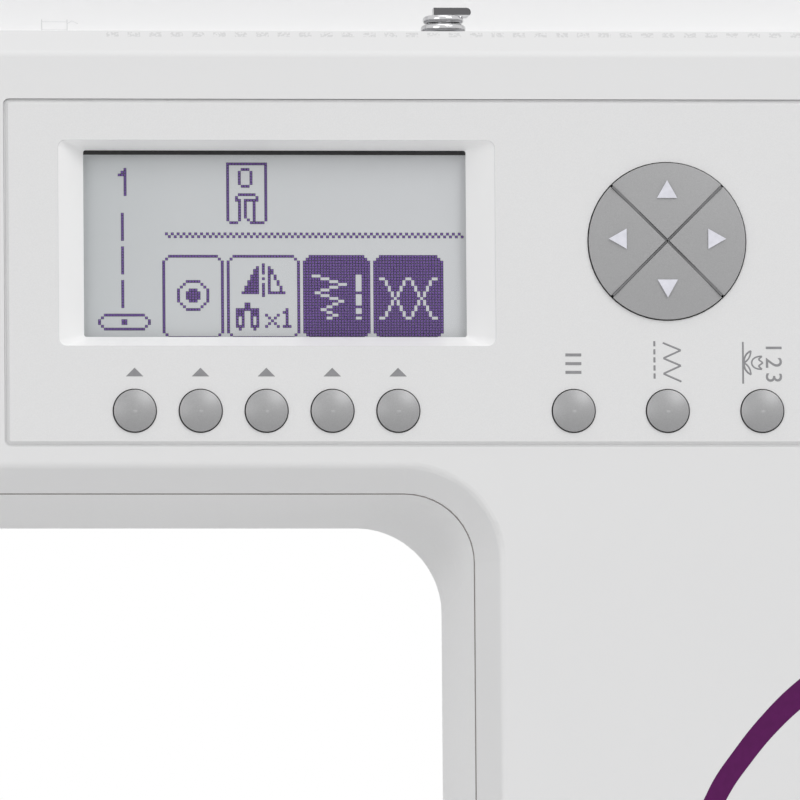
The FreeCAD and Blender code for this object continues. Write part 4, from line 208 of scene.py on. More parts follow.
def faint_marks(material, colour, low, high, pitch, grain):
    """A painted reflection: a row of small dark marks between two corners, in groups one pitch
    apart.
    """
    tree = material.node_tree
    group_level, mark_level = -0.25, 0.47
    turn = calculate(tree, "MULTIPLY", coordinates(tree)["X"], 2 * math.pi / pitch)
    group = calculate(tree, "GREATER_THAN", calculate(tree, "SINE", turn), group_level)
    # Noise breaks each group of the painted reflection into specks.
    mark_specks = calculate(tree, "GREATER_THAN", add_noise(tree, grain, 1), mark_level)
    shown = calculate(tree, "MULTIPLY", group, mark_specks)
    shown = calculate(tree, "MULTIPLY", shown, box_mask(tree, low, high))
    overlay(tree, shown, colour)


def grid_lines(material, colour, corner, pitch, share):
    """Darker lines between the dots of a display, which take a share of each pitch."""
    tree = material.node_tree
    values = coordinates(tree)
    lines = 0.0
    for letter, start, step in zip("XZ", corner, pitch):
        cells = calculate(tree, "DIVIDE", calculate(tree, "SUBTRACT", values[letter], start), step)
        off_middle = calculate(tree, "SUBTRACT", calculate(tree, "FRACT", cells), 0.5)
        reach = calculate(tree, "ABSOLUTE", off_middle)
        edge = calculate(tree, "GREATER_THAN", reach, 0.5 - share / 2)
        lines = calculate(tree, "MAXIMUM", lines, edge)
    overlay(tree, lines, colour)


def machined_metal(name, colour, rough, lines=(1, 1, 1), scale=600, relief=0.1):
    """Metal with a fine cut along one way."""
    material, tree, shader = new_material(name)
    shader.inputs["Metallic"].default_value = 1.0
    cut = add_noise(tree, scale, 4, lines)
    tint_between(tree, cut, scaled(colour, 0.93), colour, shader.inputs["Base Color"])
    shade_between(tree, cut, rough, rough + 0.1, shader.inputs["Roughness"])
    raise_grain(tree, cut, CUT_HEIGHT, relief, shader)
    return material


def two_tone_metal(name, below, above, level, rough):
    """Polished metal of one colour up to a level and another over it."""
    material = machined_metal(name, below, rough, scale=900, relief=0.02)
    tree = material.node_tree
    overlay(tree, calculate(tree, "GREATER_THAN", coordinates(tree)["Z"], level), above)
    return material


def clear_plastic(name, colour, alpha, rough=0.08):
    """Plastic that one sees through."""
    material, tree, shader = new_material(name)
    slow = add_noise(tree, CLOUD_SCALE, 2)
    tint_between(tree, slow, scaled(colour, 0.97), colour, shader.inputs["Base Color"])
    shader.inputs["Roughness"].default_value = rough
    shader.inputs["Alpha"].default_value = alpha
    return material


def ink(name, colour, rough=0.5, gloss=0.3):
    """Printing ink, a little uneven."""
    material, tree, shader = new_material(name)
    tint_between(tree, add_noise(tree, INK_SCALE, 2), scaled(colour, 0.94), scaled(colour, 1.05),
                 shader.inputs["Base Color"])
    shader.inputs["Roughness"].default_value = rough
    shader.inputs["Specular IOR Level"].default_value = gloss
    return material


def display_cell(name, left, right):
    """The grey cell of the display, with painted light: it glows a little, and it is paler to the
    right, its darker left side a painted shadow of the bezel.
    """
    # The glow is painted light, which makes up for the light that the recess keeps off the cell.
    glow = 0.32
    material, tree, shader = new_material(name)
    spread = tree.nodes.new("ShaderNodeMapRange")
    spread.inputs["From Min"].default_value = left
    spread.inputs["From Max"].default_value = right
    ramp = tree.nodes.new("ShaderNodeValToRGB")
    ramp.color_ramp.elements[0].color = (0.44, 0.458, 0.468, 1)
    ramp.color_ramp.elements[1].color = (0.516, 0.526, 0.539, 1)
    early = ramp.color_ramp.elements.new(0.25)
    early.color = (0.485, 0.5, 0.51, 1)
    tree.links.new(coordinates(tree)["X"], spread.inputs["Value"])
    tree.links.new(spread.outputs["Result"], ramp.inputs["Fac"])
    tree.links.new(ramp.outputs["Color"], shader.inputs["Base Color"])
    tree.links.new(ramp.outputs["Color"], shader.inputs["Emission Color"])
    shader.inputs["Emission Strength"].default_value = glow
    shader.inputs["Roughness"].default_value = 0.35
    shader.inputs["Specular IOR Level"].default_value = 0.2
    return material


def black_rubber(name, colour):
    """Dull rubber with a coarse grain."""
    material, tree, shader = new_material(name)
    grain = add_noise(tree, RUBBER_SCALE)
    tint_between(tree, grain, colour, scaled(colour, 1.5), shader.inputs["Base Color"])
    shade_between(tree, grain, 0.65, 0.8, shader.inputs["Roughness"])
    raise_grain(tree, grain, RUBBER_HEIGHT, 0.25, shader)
    return material


COVER_COLOUR, COVER_ROUGH = (0.80, 0.80, 0.803), (0.32, 0.42)
cover_white = moulded_plastic("cover_white", COVER_COLOUR, rough=COVER_ROUGH)
front_white = moulded_plastic("front_white", COVER_COLOUR, rough=COVER_ROUGH)
# Painted light: the lid is the covers' white plastic made paler, standing in for the brighter light
# on its raised inner face.
lid_lit_white = moulded_plastic("lid_lit_white", (0.955, 0.955, 0.958), rough=(0.3, 0.36), relief=0.03,
                            drift=0.006)
panel_silver = flake_paint("panel_silver", (0.79, 0.79, 0.793), 0.0, 0.38, 0.02)
key_grey = flake_paint("key_grey", (0.36, 0.36, 0.365), 0.25, 0.44, 0.06)
pad_grey = flake_paint("pad_grey", (0.365, 0.365, 0.37), 0.25, 0.4, 0.06)
button_grey = flake_paint("button_grey", (0.5, 0.5, 0.52), 0.2, 0.36, 0.05)
deck_plastic = moulded_plastic("deck_plastic", (0.62, 0.62, 0.64), rough=(0.45, 0.58), relief=0.3)
dark_plastic = moulded_plastic("dark_plastic", (0.035, 0.035, 0.038), rough=(0.4, 0.55), relief=0.3)
pan_plastic = moulded_plastic("pan_plastic", (0.30, 0.30, 0.32), rough=(0.5, 0.62), relief=0.35)
lens_clear = clear_plastic("lens_clear", (0.4, 0.41, 0.42), 0.05, 0.12)
smoke_clear = clear_plastic("smoke_clear", (0.55, 0.58, 0.62), 0.42)
lamp_clear = clear_plastic("lamp_clear", (0.95, 0.95, 0.9), 0.6, 0.3)
bobbin_clear = clear_plastic("bobbin_clear", (0.8, 0.84, 0.88), 0.5)
rubber = black_rubber("rubber", (0.03, 0.03, 0.032))
cast_metal = machined_metal("cast_metal", (0.55, 0.56, 0.57), 0.5, scale=260, relief=0.4)
bronze = machined_metal("bronze", (0.62, 0.42, 0.2), 0.35, scale=500)
polished = machined_metal("polished", (0.52, 0.52, 0.53), 0.12, scale=900, relief=0.02)
brushed = machined_metal("brushed", (0.47, 0.47, 0.475), 0.28, lines=(0.05, 1, 1), scale=1600,
                         relief=0.15)
ground = machined_metal("ground", (0.42, 0.42, 0.43), 0.3, lines=(0.05, 1, 1), scale=1200,
                        relief=0.1)
motor_paint = moulded_plastic("motor_paint", (0.03, 0.03, 0.032), rough=(0.35, 0.5), grain=500,
                              relief=0.2)
board_mask = moulded_plastic("board_mask", (0.03, 0.16, 0.07), rough=(0.25, 0.35), grain=300,
                             relief=0.1)
dot_purple = ink("dot_purple", (0.172, 0.08, 0.36), 0.5, 0.1)
print_grey = ink("print_grey", (0.29, 0.29, 0.30))
print_pale = ink("print_pale", (0.78, 0.78, 0.85))
print_purple = ink("print_purple", (0.098, 0.008, 0.09), 0.45, 0.15)
print_black = ink("print_black", (0.035, 0.035, 0.04))
rib_grey = ink("rib_grey", (0.2, 0.2, 0.205), 0.5, 0.2)
print_faint = ink("print_faint", (0.5, 0.5, 0.52))
print_pearl = ink("print_pearl", (0.76, 0.76, 0.77))
# Black for the painted shadow over the top edge of the display.
shadow_black = ink("shadow_black", (0.03, 0.03, 0.03), 0.8)
# Dark grey for the painted shadow in the seam between the covers.
seam_shadow_grey = ink("seam_shadow_grey", (0.36, 0.34, 0.33), 0.8)


def dress(material, *names):
    """Give parts a material in all their slots."""
    for name in names:
        for place in nodes[name].material_slots:
            place.material = material


# A painted reflection: a row of faint marks along the top edge of the front cover, standing in for
# the lid chart mirrored in its rounded rim.
ROW_LEFT, ROW_END_GAP, ROW_DEPTH = -18 * MM, 12 * MM, 9 * MM
ROW_DROP, ROW_HEIGHT, ROW_PITCH, ROW_GRAIN = 0.35 * MM, 1.0 * MM, 4.3 * MM, 1900
row_top = cover_high.z - ROW_DROP
row_low = (ROW_LEFT, front_face - 1 * MM, row_top - ROW_HEIGHT)
row_high = (cover_high.x - ROW_END_GAP, front_face + ROW_DEPTH, row_top)
faint_marks(front_white, (0.68, 0.68, 0.683), row_low, row_high, ROW_PITCH, ROW_GRAIN)

# Painted light: the sloping walls round the display, as far as they reach past its lens, are made
# paler so they look more brightly lit.
RECESS_SIDE, RECESS_UNDER, RECESS_OVER, RECESS_BACK = 9 * MM, 4 * MM, 6 * MM, 4 * MM
RECESS_FRONT = 0.15 * MM
recess_low = (lens_low.x - RECESS_SIDE, front_face + RECESS_FRONT, lens_low.z - RECESS_UNDER)
recess_high = (lens_high.x + RECESS_SIDE, lens_high.y + RECESS_BACK, lens_high.z + RECESS_OVER)
bright_recess(panel_silver, (0.97, 0.97, 0.97), recess_low, recess_high)

# The guide's dark clip begins this far under its top.
GUIDE_CLIP_HEIGHT = 1.45 * MM
clip_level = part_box("winder_tension")[1].z - GUIDE_CLIP_HEIGHT
guide_steel = two_tone_metal("guide_steel", (0.6, 0.6, 0.61), (0.13, 0.13, 0.135), clip_level, 0.1)

dress(front_white, "front_cover")
dress(cover_white, "rear_cover", "base_cover", "accessory_box", "accessory_flap", "handwheel")
dress(lid_lit_white, "lid")
dress(panel_silver, "control_panel")
dress(key_grey, "menu_key", "stitch_key", "letter_key", *[f"soft_key_{i}" for i in range(1, 6)])
dress(pad_grey, "pad_up", "pad_down", "pad_left", "pad_right")
dress(button_grey, "start_button", "reverse_button", "needle_button", "speed_slider")
dress(deck_plastic, "top_deck", "spool_cap", "spool_pin", "winder_carriage")
dress(dark_plastic, "power_switch", "power_inlet", "display_module", "bobbin_case", "tension_dial")
dress(pan_plastic, "base_pan")
dress(lens_clear, "display_lens")
dress(smoke_clear, "bobbin_cover")
dress(bobbin_clear, "bobbin")
dress(lamp_clear, "lamp")
dress(rubber, "rubber_feet", "drive_belts")
dress(cast_metal, "arm_casting")
dress(bronze, "shaft_bushings")
dress(polished, "needle_bar", "needle", "presser_bar", "presser_foot", "take_up_lever")
dress(guide_steel, "winder_tension")
dress(brushed, "needle_plate", "feed_dog", "lifter_lever")
dress(ground, "main_shaft", "lower_shaft", "motor_pulley", "presser_spring", "winder_spindle",
      "cover_screws", "rotary_hook")
dress(motor_paint, "motor")
dress(board_mask, "circuit_boards")


# ---------------------------------------------------------------------------
# How pieces are made
# ---------------------------------------------------------------------------
def choose(*pieces):
    """Select these pieces and make the first of them active."""
    bpy.ops.object.select_all(action="DESELECT")
    for piece in pieces:
        piece.select_set(True)
    bpy.context.view_layer.objects.active = pieces[0]


def settle():
    """Take the place, turn and scale of the active piece into its mesh."""
    bpy.ops.object.transform_apply(location=True, rotation=True, scale=True)


def finish_piece(piece, name, body, material):
    """Settle a piece at the origin, give it its finish and let it ride on a body."""
    choose(piece)
    settle()
    piece.name = name
    piece.data.name = name
    piece.data.materials.clear()
    piece.data.materials.append(material)
    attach(piece, body)


def join_pieces(pieces):
    """Join pieces into the first of them."""
    choose(*pieces)
    if len(pieces) > 1:
        bpy.ops.object.join()
    return bpy.context.object


def use_modifier(piece, kind, **settings):
    """Add a modifier and apply it."""
    bpy.context.view_layer.objects.active = piece
    modifier = piece.modifiers.new(kind.lower(), kind)
    for name, value in settings.items():
        setattr(modifier, name, value)
    bpy.ops.object.modifier_apply(modifier=modifier.name)


def bar(low, high, soft=0.0):
    """A slim bar between two corners, with softened edges."""
    low, high = Vector(low), Vector(high)
    bpy.ops.mesh.primitive_cube_add(size=1, location=(low + high) / 2)
    piece = bpy.context.object
    piece.dimensions = high - low
    settle()
    if soft:
        use_modifier(piece, "BEVEL", width=soft, segments=2)
    return piece


def plate_shape(points, level):
    """A flat printed shape on an upright face; points are its corners as (x, z)."""
    bpy.ops.mesh.primitive_circle_add(vertices=len(points), radius=1, fill_type="NGON")
    piece = bpy.context.object
    for vertex, (x, z) in zip(piece.data.vertices, points):
        vertex.co = (x, level, z)
    use_modifier(piece, "SOLIDIFY", thickness=PRINT_RISE, offset=0)
    bpy.ops.object.mode_set(mode="EDIT")
    bpy.ops.mesh.select_all(action="SELECT")
    bpy.ops.mesh.normals_make_consistent(inside=False)
    bpy.ops.object.mode_set(mode="OBJECT")
    return piece


def stroke(points, width, level, smooth=False, closed=False, thick=PRINT_RISE):
    """A printed line on an upright face, through points given as (x, z)."""
    bpy.ops.curve.primitive_nurbs_path_add()
    piece = bpy.context.object
    curve = piece.data
    curve.splines.clear()
    if smooth or closed:
        runs = [points]
    else:
        runs = [points[i:i + 2] for i in range(len(points) - 1)]
    for run in runs:
        spline = curve.splines.new("NURBS" if smooth else "POLY")
        spline.points.add(len(run) - 1)
        for point, (x, z) in zip(spline.points, run):
            point.co = (x, 0, z, 1)
        if smooth:
            spline.order_u = 4
            spline.use_endpoint_u = not closed
        spline.use_cyclic_u = closed
    curve.resolution_u = 8
    curve.bevel_depth = width / 2
    curve.bevel_resolution = 1
    curve.use_fill_caps = True
    bpy.ops.object.convert(target="MESH")
    piece = bpy.context.object
    piece.scale.y = thick / width
    piece.location.y = level
    settle()
    return piece


def around(place, points):
    """Points given in millimetres from a place, moved to that place."""
    return [(place.x + x * MM, place.z + z * MM) for x, z in points]


def number_print(text, x, z, height, level, turn=0.0, bold=0.03):
    """A number on an upright face, its middle at a place."""
    size_of_height = 1.4
    bpy.ops.object.text_add(location=(0, 0, 0))
    piece = bpy.context.object
    piece.data.body = text
    piece.data.size = height * size_of_height
    piece.data.align_x = "CENTER"
    piece.data.align_y = "CENTER"
    piece.data.extrude = PRINT_RISE / 2
    piece.data.offset = height * bold
    bpy.ops.object.convert(target="MESH")
    piece = bpy.context.object
    piece.rotation_euler = (math.pi / 2, turn, 0)
    piece.location = (x, level, z)
    settle()
    return piece


def arc_points(x, z, radius, start, end, count=14):
    """Points along an arc between two angles, in degrees."""
    step = math.radians(end - start) / count
    return [(x + radius * math.cos(math.radians(start) + step * i),
             z + radius * math.sin(math.radians(start) + step * i)) for i in range(count + 1)]


def turned(piece, axis, angle, place=(0, 0, 0)):
    """Turn a piece about the origin and then move it."""
    piece.rotation_euler = [angle if axis == letter else 0 for letter in "XYZ"]
    piece.location = place
    choose(piece)
    settle()
    return piece


def lay_flat(piece, level):
    """Lay an upright print, made at level 0, on a face that looks up."""
    return turned(piece, "X", -math.pi / 2, (0, 0, level))


def face_right(piece, level):
    """Turn an upright print, made at level 0, to a face that looks right."""
    return turned(piece, "Z", math.pi / 2, (level, 0, 0))


# ---------------------------------------------------------------------------
# The display: a cell, a black strip over its top edge as painted shadow, and the dark dots
# ---------------------------------------------------------------------------
LENS_MARGIN = 1.8 * MM                      # the lens reaches this far behind the panel
CELL_FRONT, CELL_BACK = 0.05 * MM, 0.36 * MM    # behind the module's front
COLUMNS, ROWS = 131, 64
DOT_WIDE, DOT_HIGH, DOT_GAP = 0.5882 * MM, 0.5637 * MM, 0.004 * MM
FIRST_DOT_ACROSS, FIRST_DOT_UP = 0.29 * MM, 0.07 * MM
window_left = lens_low.x + LENS_MARGIN
window_right = lens_high.x - LENS_MARGIN
window_bottom = lens_low.z + LENS_MARGIN
window_top = lens_high.z - LENS_MARGIN
cell_front = module_low.y + CELL_FRONT
dots_left = window_left + FIRST_DOT_ACROSS - DOT_WIDE / 2
dots_bottom = window_bottom + FIRST_DOT_UP - DOT_HIGH / 2
grid_lines(dot_purple, (0.013, 0.004, 0.034), (dots_left, dots_bottom), (DOT_WIDE, DOT_HIGH), 0.3)


def across(row, first, last, step=1):
    """Dots side by side in a row; rows count down from the top."""
    return {(column, row) for column in range(first, last + 1, step)}


def down(column, first, last):
    """Dots under one another in a column."""
    return {(column, row) for row in range(first, last + 1)}


def filled(first, last, top, bottom):
    """A full block of dots, from a first to a last column."""
    return {dot for row in range(top, bottom + 1) for dot in across(row, first, last)}


def key_frame(first, last, top, bottom):
    """An outlined box with cut corners."""
    dots = across(top, first + 2, last - 2) | across(bottom, first + 2, last - 2)
    dots |= down(first, top + 2, bottom - 2) | down(last, top + 2, bottom - 2)
    corners = {(column, row) for column in (first + 1, last - 1) for row in (top + 1, bottom - 1)}
    return dots | corners


def key_block(first, last, top, bottom):
    """A filled box with cut corners."""
    dots = filled(first, last, top + 2, bottom - 2)
    dots |= across(top + 1, first + 1, last - 1) | across(bottom - 1, first + 1, last - 1)
    return dots | across(top, first + 2, last - 2) | across(bottom, first + 2, last - 2)


def octagon(column, row, reach, side):
    """A ring of dots with four straight sides and four slanted ones."""
    dots = set()
    for part in range(-side, side + 1):
        dots |= {(column + part, row - reach), (column + part, row + reach)}
        dots |= {(column - reach, row + part), (column + reach, row + part)}
    for part in range(1, reach - side):
        for across_way in (-1, 1):
            for up_way in (-1, 1):
                dots.add((column + across_way * (side + part), row + up_way * (reach - part)))
    return dots


def stitch_count():
    """The stitch number, its run of stitches and the needle hole under it."""
    dots = down(14, 3, 12) | {(13, 4), (13, 5), (12, 5)}
    for top in (19, 31, 43):
        dots |= down(13, top, top + 9)
    dots |= across(55, 7, 20) | across(60, 7, 20)
    dots |= {(6, 56), (21, 56), (6, 59), (21, 59)}
    dots |= down(5, 57, 58) | down(22, 57, 58)
    return dots | filled(13, 14, 57, 58)


def foot_sign():
    """The card with the number of the presser foot."""
    dots = across(1, 49, 62) | down(49, 1, 21) | down(62, 1, 21)
    dots |= across(22, 50, 52) | across(22, 57, 61)
    dots |= across(3, 54, 56) | across(9, 54, 56) | down(53, 4, 8) | down(57, 4, 8)
    dots |= across(12, 53, 58) | down(52, 13, 14) | down(59, 13, 14)
    dots |= down(53, 14, 21) | across(14, 55, 59) | down(55, 14, 20)
    return dots | {(56, 21)} | down(58, 14, 22)


def border_line():
    """The checked line over the boxes."""
    return across(26, 28, 128, 2) | across(27, 29, 129, 2)


def target_key():
    """A ringed mark in an outlined box."""
    dots = key_frame(27, 47, 34, 63) | octagon(37, 48, 5, 2)
    return dots | filled(35, 39, 47, 49) | across(46, 36, 38) | across(50, 36, 38)


def mirror_key():
    """Mirrored signs and small marks in an outlined box."""
    dots = key_frame(49, 73, 34, 63)
    for row in range(38, 48):
        step = (row - 37) // 2
        dots |= across(row, 59 - step, 59) | {(63, row), (63 + step, row)}
    dots |= across(47, 63, 68)
    dots |= down(61, 37, 40) | {(61, 42)} | down(61, 44, 48)
    dots |= filled(55, 56, 51, 52) | across(53, 52, 59)
    for left in (52, 57):
        dots |= filled(left, left + 2, 54, 59) - down(left + 1, 56, 58)
        dots.add((left + 1, 60))
    for reach in range(1, 3):
        for side in (-1, 1):
            dots |= {(64 + side * reach, 57 - reach), (64 + side * reach, 57 + reach)}
    dots |= {(64, 57), (68, 54)}
    return dots | down(69, 53, 59) | across(59, 68, 70)


def zigzag_key():
    """Stitch width and length, shown light in a dark box."""
    light = set()
    swings = [(78, 3), (81, 3), (84, 3), (87, 3), (84, 3), (81, 3), (79, 2), (81, 3), (84, 3),
              (87, 2), (85, 2), (83, 2), (81, 2), (83, 2), (85, 2), (83, 2)]
    for row, (first, count) in enumerate(swings, start=41):
        light |= across(row, first, first + count - 1)
    for top, bottom in ((41, 46), (48, 51), (53, 54), (56, 56)):
        light |= filled(93, 94, top, bottom)
    return key_block(75, 97, 34, 63) - light


def wave_key():
    """Two threads that cross, shown light in a dark box."""
    light = set()
    for column in range(101, 121):
        away = min(abs(column - 106), abs(column - 115))
        reach = {0: (0, 0), 1: (1, 2), 2: (3, 4), 3: (5, 6)}.get(away, (7, 7))
        for side in (-1, 1):
            light |= {(column, 49 + side * step) for step in range(reach[0], reach[1] + 1)}
    return key_block(99, 122, 34, 63) - light


def make_cell():
    """The cell behind the lens, and a black strip over its top edge, a painted shadow of the shaded
    gap under the bezel's top wall.
    """
    lap, soft = 0.5 * MM, 0.1 * MM
    left, right = window_left - lap, window_right + lap
    cell = bar((left, cell_front, window_bottom - lap),
               (right, module_low.y + CELL_BACK, window_top + lap), soft)
    finish_piece(cell, "display_cell", "machine",
                 display_cell("cell_tint_and_painted_light", window_left, window_right))
    # A painted shadow: a black strip in the gap over the lens's top edge.
    shown, hidden = 0.85 * MM, 1.0 * MM
    front, back = lens_low.y - 0.3 * MM, lens_low.y - 0.05 * MM
    shadow_strip = bar((left, front, window_top - shown), (right, back, window_top + hidden), soft / 2)
    finish_piece(shadow_strip, "display_top_shadow", "machine", shadow_black)


def make_dots():
    """The dark dots: a grid that keeps the cells of the pictures."""
    dark = stitch_count() | foot_sign() | border_line() | target_key() | mirror_key()
    dark |= zigzag_key() | wave_key()
    thick, proud = 0.02 * MM, 0.03 * MM
    bpy.ops.mesh.primitive_grid_add(x_subdivisions=COLUMNS, y_subdivisions=ROWS, size=1,
                                    rotation=(math.pi / 2, 0, 0))
    grid = bpy.context.object
    grid.scale = (COLUMNS * DOT_WIDE, ROWS * DOT_HIGH, 1)
    grid.location = (dots_left + COLUMNS * DOT_WIDE / 2, cell_front - proud,
                     dots_bottom + ROWS * DOT_HIGH / 2)
    settle()
    bpy.ops.object.mode_set(mode="EDIT")
    bpy.ops.mesh.select_mode(type="FACE")
    bpy.ops.mesh.select_all(action="DESELECT")
    bpy.ops.object.mode_set(mode="OBJECT")
    for face in grid.data.polygons:
        column = int((face.center.x - dots_left) / DOT_WIDE)
        row = ROWS - 1 - int((face.center.z - dots_bottom) / DOT_HIGH)
        face.select = (column, row) not in dark
    bpy.ops.object.mode_set(mode="EDIT")
    bpy.ops.mesh.delete(type="FACE")
    bpy.ops.mesh.select_all(action="SELECT")
    bpy.ops.mesh.inset(thickness=DOT_GAP, use_individual=True)
    bpy.ops.mesh.select_all(action="INVERT")
    bpy.ops.mesh.delete(type="FACE")
    bpy.ops.object.mode_set(mode="OBJECT")
    use_modifier(grid, "SOLIDIFY", thickness=thick, offset=0)
    finish_piece(grid, "display_dots", "machine", dot_purple)


make_cell()
make_dots()


# ---------------------------------------------------------------------------
# Prints on the panel and its keys
# ---------------------------------------------------------------------------
def print_on(pieces, name, body, material):
    """Join prints into one piece that rides on a body."""
    finish_piece(join_pieces(pieces), name, body, material)


def make_key_marks():
    """A small triangle over each soft key."""
    half, height, lift = 1.75, 1.75, 6.9
    triangle = [(-half, lift), (half, lift), (0, lift + height)]
    marks = [plate_shape(around(middle(f"soft_key_{i}"), triangle), front_face)
             for i in range(1, 6)]
    print_on(marks, "soft_key_marks", "machine", print_grey)


def make_pad_arrows():
    """A pale arrow on each quarter of the pad."""
    centre = (middle("pad_up") + middle("pad_down")) / 2
    centre.z += 0.4 * MM
    inner, outer, half = 8.2, 11.8, 2.05
    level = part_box("pad_up")[0].y
    ways = {"pad_up": (0, 1), "pad_down": (0, -1), "pad_left": (-1, 0), "pad_right": (1, 0)}
    for node, (x, z) in ways.items():
        arrow = [(x * inner - z * half, z * inner - x * half),
                 (x * inner + z * half, z * inner + x * half), (x * outer, z * outer)]
        shape = plate_shape(around(centre, arrow), level)
        print_on([shape], f"{node}_arrow", node, print_pale)


def make_pad_rib():
    """The cross rib of the panel that shows in the grooves between the pad's quarters."""
    low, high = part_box("pad_up")[0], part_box("pad_right")[1]
    centre = (middle("pad_up") + middle("pad_down")) / 2
    lip, short = 1.0 * MM, 0.3 * MM
    reach = high.x - centre.x - lip - short
    half, sunk, deep = 0.22 * MM, 0.3 * MM, 3.0 * MM
    ribs = []
    for turn in (-math.pi / 4, math.pi / 4):
        rib = bar((-reach, low.y + sunk, -half), (reach, low.y + deep, half), 0.05 * MM)
        ribs.append(turned(rib, "Y", turn, (centre.x, 0, centre.z)))
    print_on(ribs, "pad_rib", "machine", rib_grey)


def make_menu_mark():
    """Three bars over the menu key."""
    place = middle("menu_key")
    half_wide, half_high, first, step = 1.6, 0.3, 7.75, 1.75
    bars = []
    for i in range(3):
        low, high = first + i * step - half_high, first + i * step + half_high
        corners = [(-half_wide, low), (half_wide, low), (half_wide, high), (-half_wide, high)]
        bars.append(plate_shape(around(place, corners), front_face))
    print_on(bars, "menu_mark", "machine", print_grey)


def make_stitch_mark():
    """A dashed line and a zigzag over the stitch key."""
    place = middle("stitch_key")
    line = 0.42 * MM
    left, first, step, dash = -2.6, 6.5, 1.62, 1.05
    pieces = []
    for i in range(5):
        low = first + i * step
        pieces.append(stroke(around(place, [(left, low), (left, low + dash)]), line, front_face))
    swing = [(-0.9, 13.7), (2.7, 12.2), (-0.8, 10.6), (2.7, 9.1), (-0.8, 7.5), (2.8, 5.9)]
    pieces.append(stroke(around(place, swing), line, front_face))
    print_on(pieces, "stitch_mark", "machine", print_grey)


def make_pattern_mark():
    """A flower on a stem line and upright numbers over the pattern key."""
    place = middle("letter_key")
    line, stem, height = 0.36 * MM, -3.8, 9.7

    def drawn(points, **how):
        """A line given from the middle of the stem."""
        shifted = [(stem + x, height + z) for x, z in points]
        return stroke(around(place, shifted), line, front_face, **how)

    pieces = [drawn([(0, -4.2), (0, 4.2)])]
    for side in (-1, 1):
        outer = [(0.2, 0), (0.2, side * 1.5), (0.9, side * 2.0), (1.6, side * 2.4)]
        inner = [(0.2, 0), (1.2, side * 0.6), (1.5, side * 1.4), (1.6, side * 2.4)]
        pieces += [drawn(outer, smooth=True), drawn(inner, smooth=True)]
    cup = [(3.8, -1.3), (2.3, -1.3), (1.2, 0), (2.3, 1.3), (3.8, 1.3)]
    teeth = [(3.8, -1.3), (3.1, -0.65), (4.0, 0), (3.1, 0.65), (3.8, 1.3)]
    pieces += [drawn(cup, smooth=True), drawn(teeth)]
    for digit, rise in (("1", 12.7), ("2", 9.7), ("3", 6.7)):
        pieces.append(number_print(digit, place.x + 2.2 * MM, place.z + rise * MM, 3.3 * MM,
                                   front_face, math.pi / 2, 0.005))
    print_on(pieces, "pattern_mark", "machine", print_grey)


make_key_marks()
make_pad_arrows()
make_pad_rib()
make_menu_mark()
make_stitch_mark()
make_pattern_mark()


# ---------------------------------------------------------------------------
# The swept stripe on the column
# ---------------------------------------------------------------------------
def make_stripe():
    """A ribbon that sweeps down the column."""
    # X, Z and half the width along its middle line, in millimetres
    run = [(86.5, 74.0, 0.5), (91.5, 92.0, 1.0), (97.2, 111.5, 1.6), (103.9, 129.3, 2.05),
           (109.1, 137.0, 2.1), (114.6, 143.6, 2.2), (120.9, 149.5, 2.4), (134.0, 158.6, 2.6),
           (152.0, 167.0, 2.3), (170.0, 172.2, 1.5), (186.0, 174.8, 0.5)]
    last = len(run) - 1
    near_side, far_side = [], []
    for i, (x, z, half) in enumerate(run):
        before, after = run[max(i - 1, 0)], run[min(i + 1, last)]
        along = Vector((after[0] - before[0], after[1] - before[1])).normalized()
        near_side.append((x - along.y * half, z + along.x * half))
        far_side.append((x + along.y * half, z - along.x * half))
    outline = near_side + far_side[::-1]
    bpy.ops.curve.primitive_bezier_circle_add()
    piece = bpy.context.object
    curve = piece.data
    curve.dimensions = "2D"
    curve.fill_mode = "BOTH"
    curve.extrude = PRINT_RISE / 2
    curve.resolution_u = 10
    curve.splines.clear()
    spline = curve.splines.new("BEZIER")
    spline.bezier_points.add(len(outline) - 1)
    spline.use_cyclic_u = True
    ends = (0, last, last + 1, len(outline) - 1)
    for i, (point, (x, z)) in enumerate(zip(spline.bezier_points, outline)):
        point.co = (x * MM, z * MM, 0)
        point.handle_left_type = point.handle_right_type = "VECTOR" if i in ends else "AUTO"
    bpy.ops.object.convert(target="MESH")
    piece = bpy.context.object
    piece.rotation_euler.x = math.pi / 2
    piece.location = (0, front_face, 0)
    finish_piece(piece, "column_stripe", "machine", print_purple)


make_stripe()


# ---------------------------------------------------------------------------
# The joint between the two covers
# ---------------------------------------------------------------------------
# Edges and corner radii of the throat and the head.
THROAT_RIGHT, THROAT_TOP, THROAT_RADIUS = 56 * MM, 190 * MM, 14 * MM
HEAD_RIGHT, HEAD_BOTTOM, HEAD_RADIUS = -114 * MM, 134 * MM, 10 * MM
SEAM_DEPTH, SEAM_WIDE, SEAM_PROUD = 5.65 * MM, 0.3 * MM, 0.08 * MM


def make_cover_seam():
    """A dark strip in the joint, a painted shadow of the shaded gap between the covers, from the
    head round the throat and down the column.
    """
    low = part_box("rear_cover")[0].z
    right, top = THROAT_RIGHT - SEAM_PROUD, THROAT_TOP - SEAM_PROUD
    left = HEAD_RIGHT + SEAM_PROUD
    path = [(left, HEAD_BOTTOM + HEAD_RADIUS)]
    path += arc_points(left + HEAD_RADIUS, top - HEAD_RADIUS, HEAD_RADIUS, 180, 90)
    path += arc_points(right - THROAT_RADIUS, top - THROAT_RADIUS, THROAT_RADIUS, 90, 0)
    path.append((right, low))
    # The painted shadow in the seam, a thin dark strip.
    lip = stroke(path, SEAM_WIDE, front_face + SEAM_DEPTH, thick=SEAM_WIDE)
    finish_piece(lip, "cover_seam_shadow", "machine", seam_shadow_grey)


make_cover_seam()


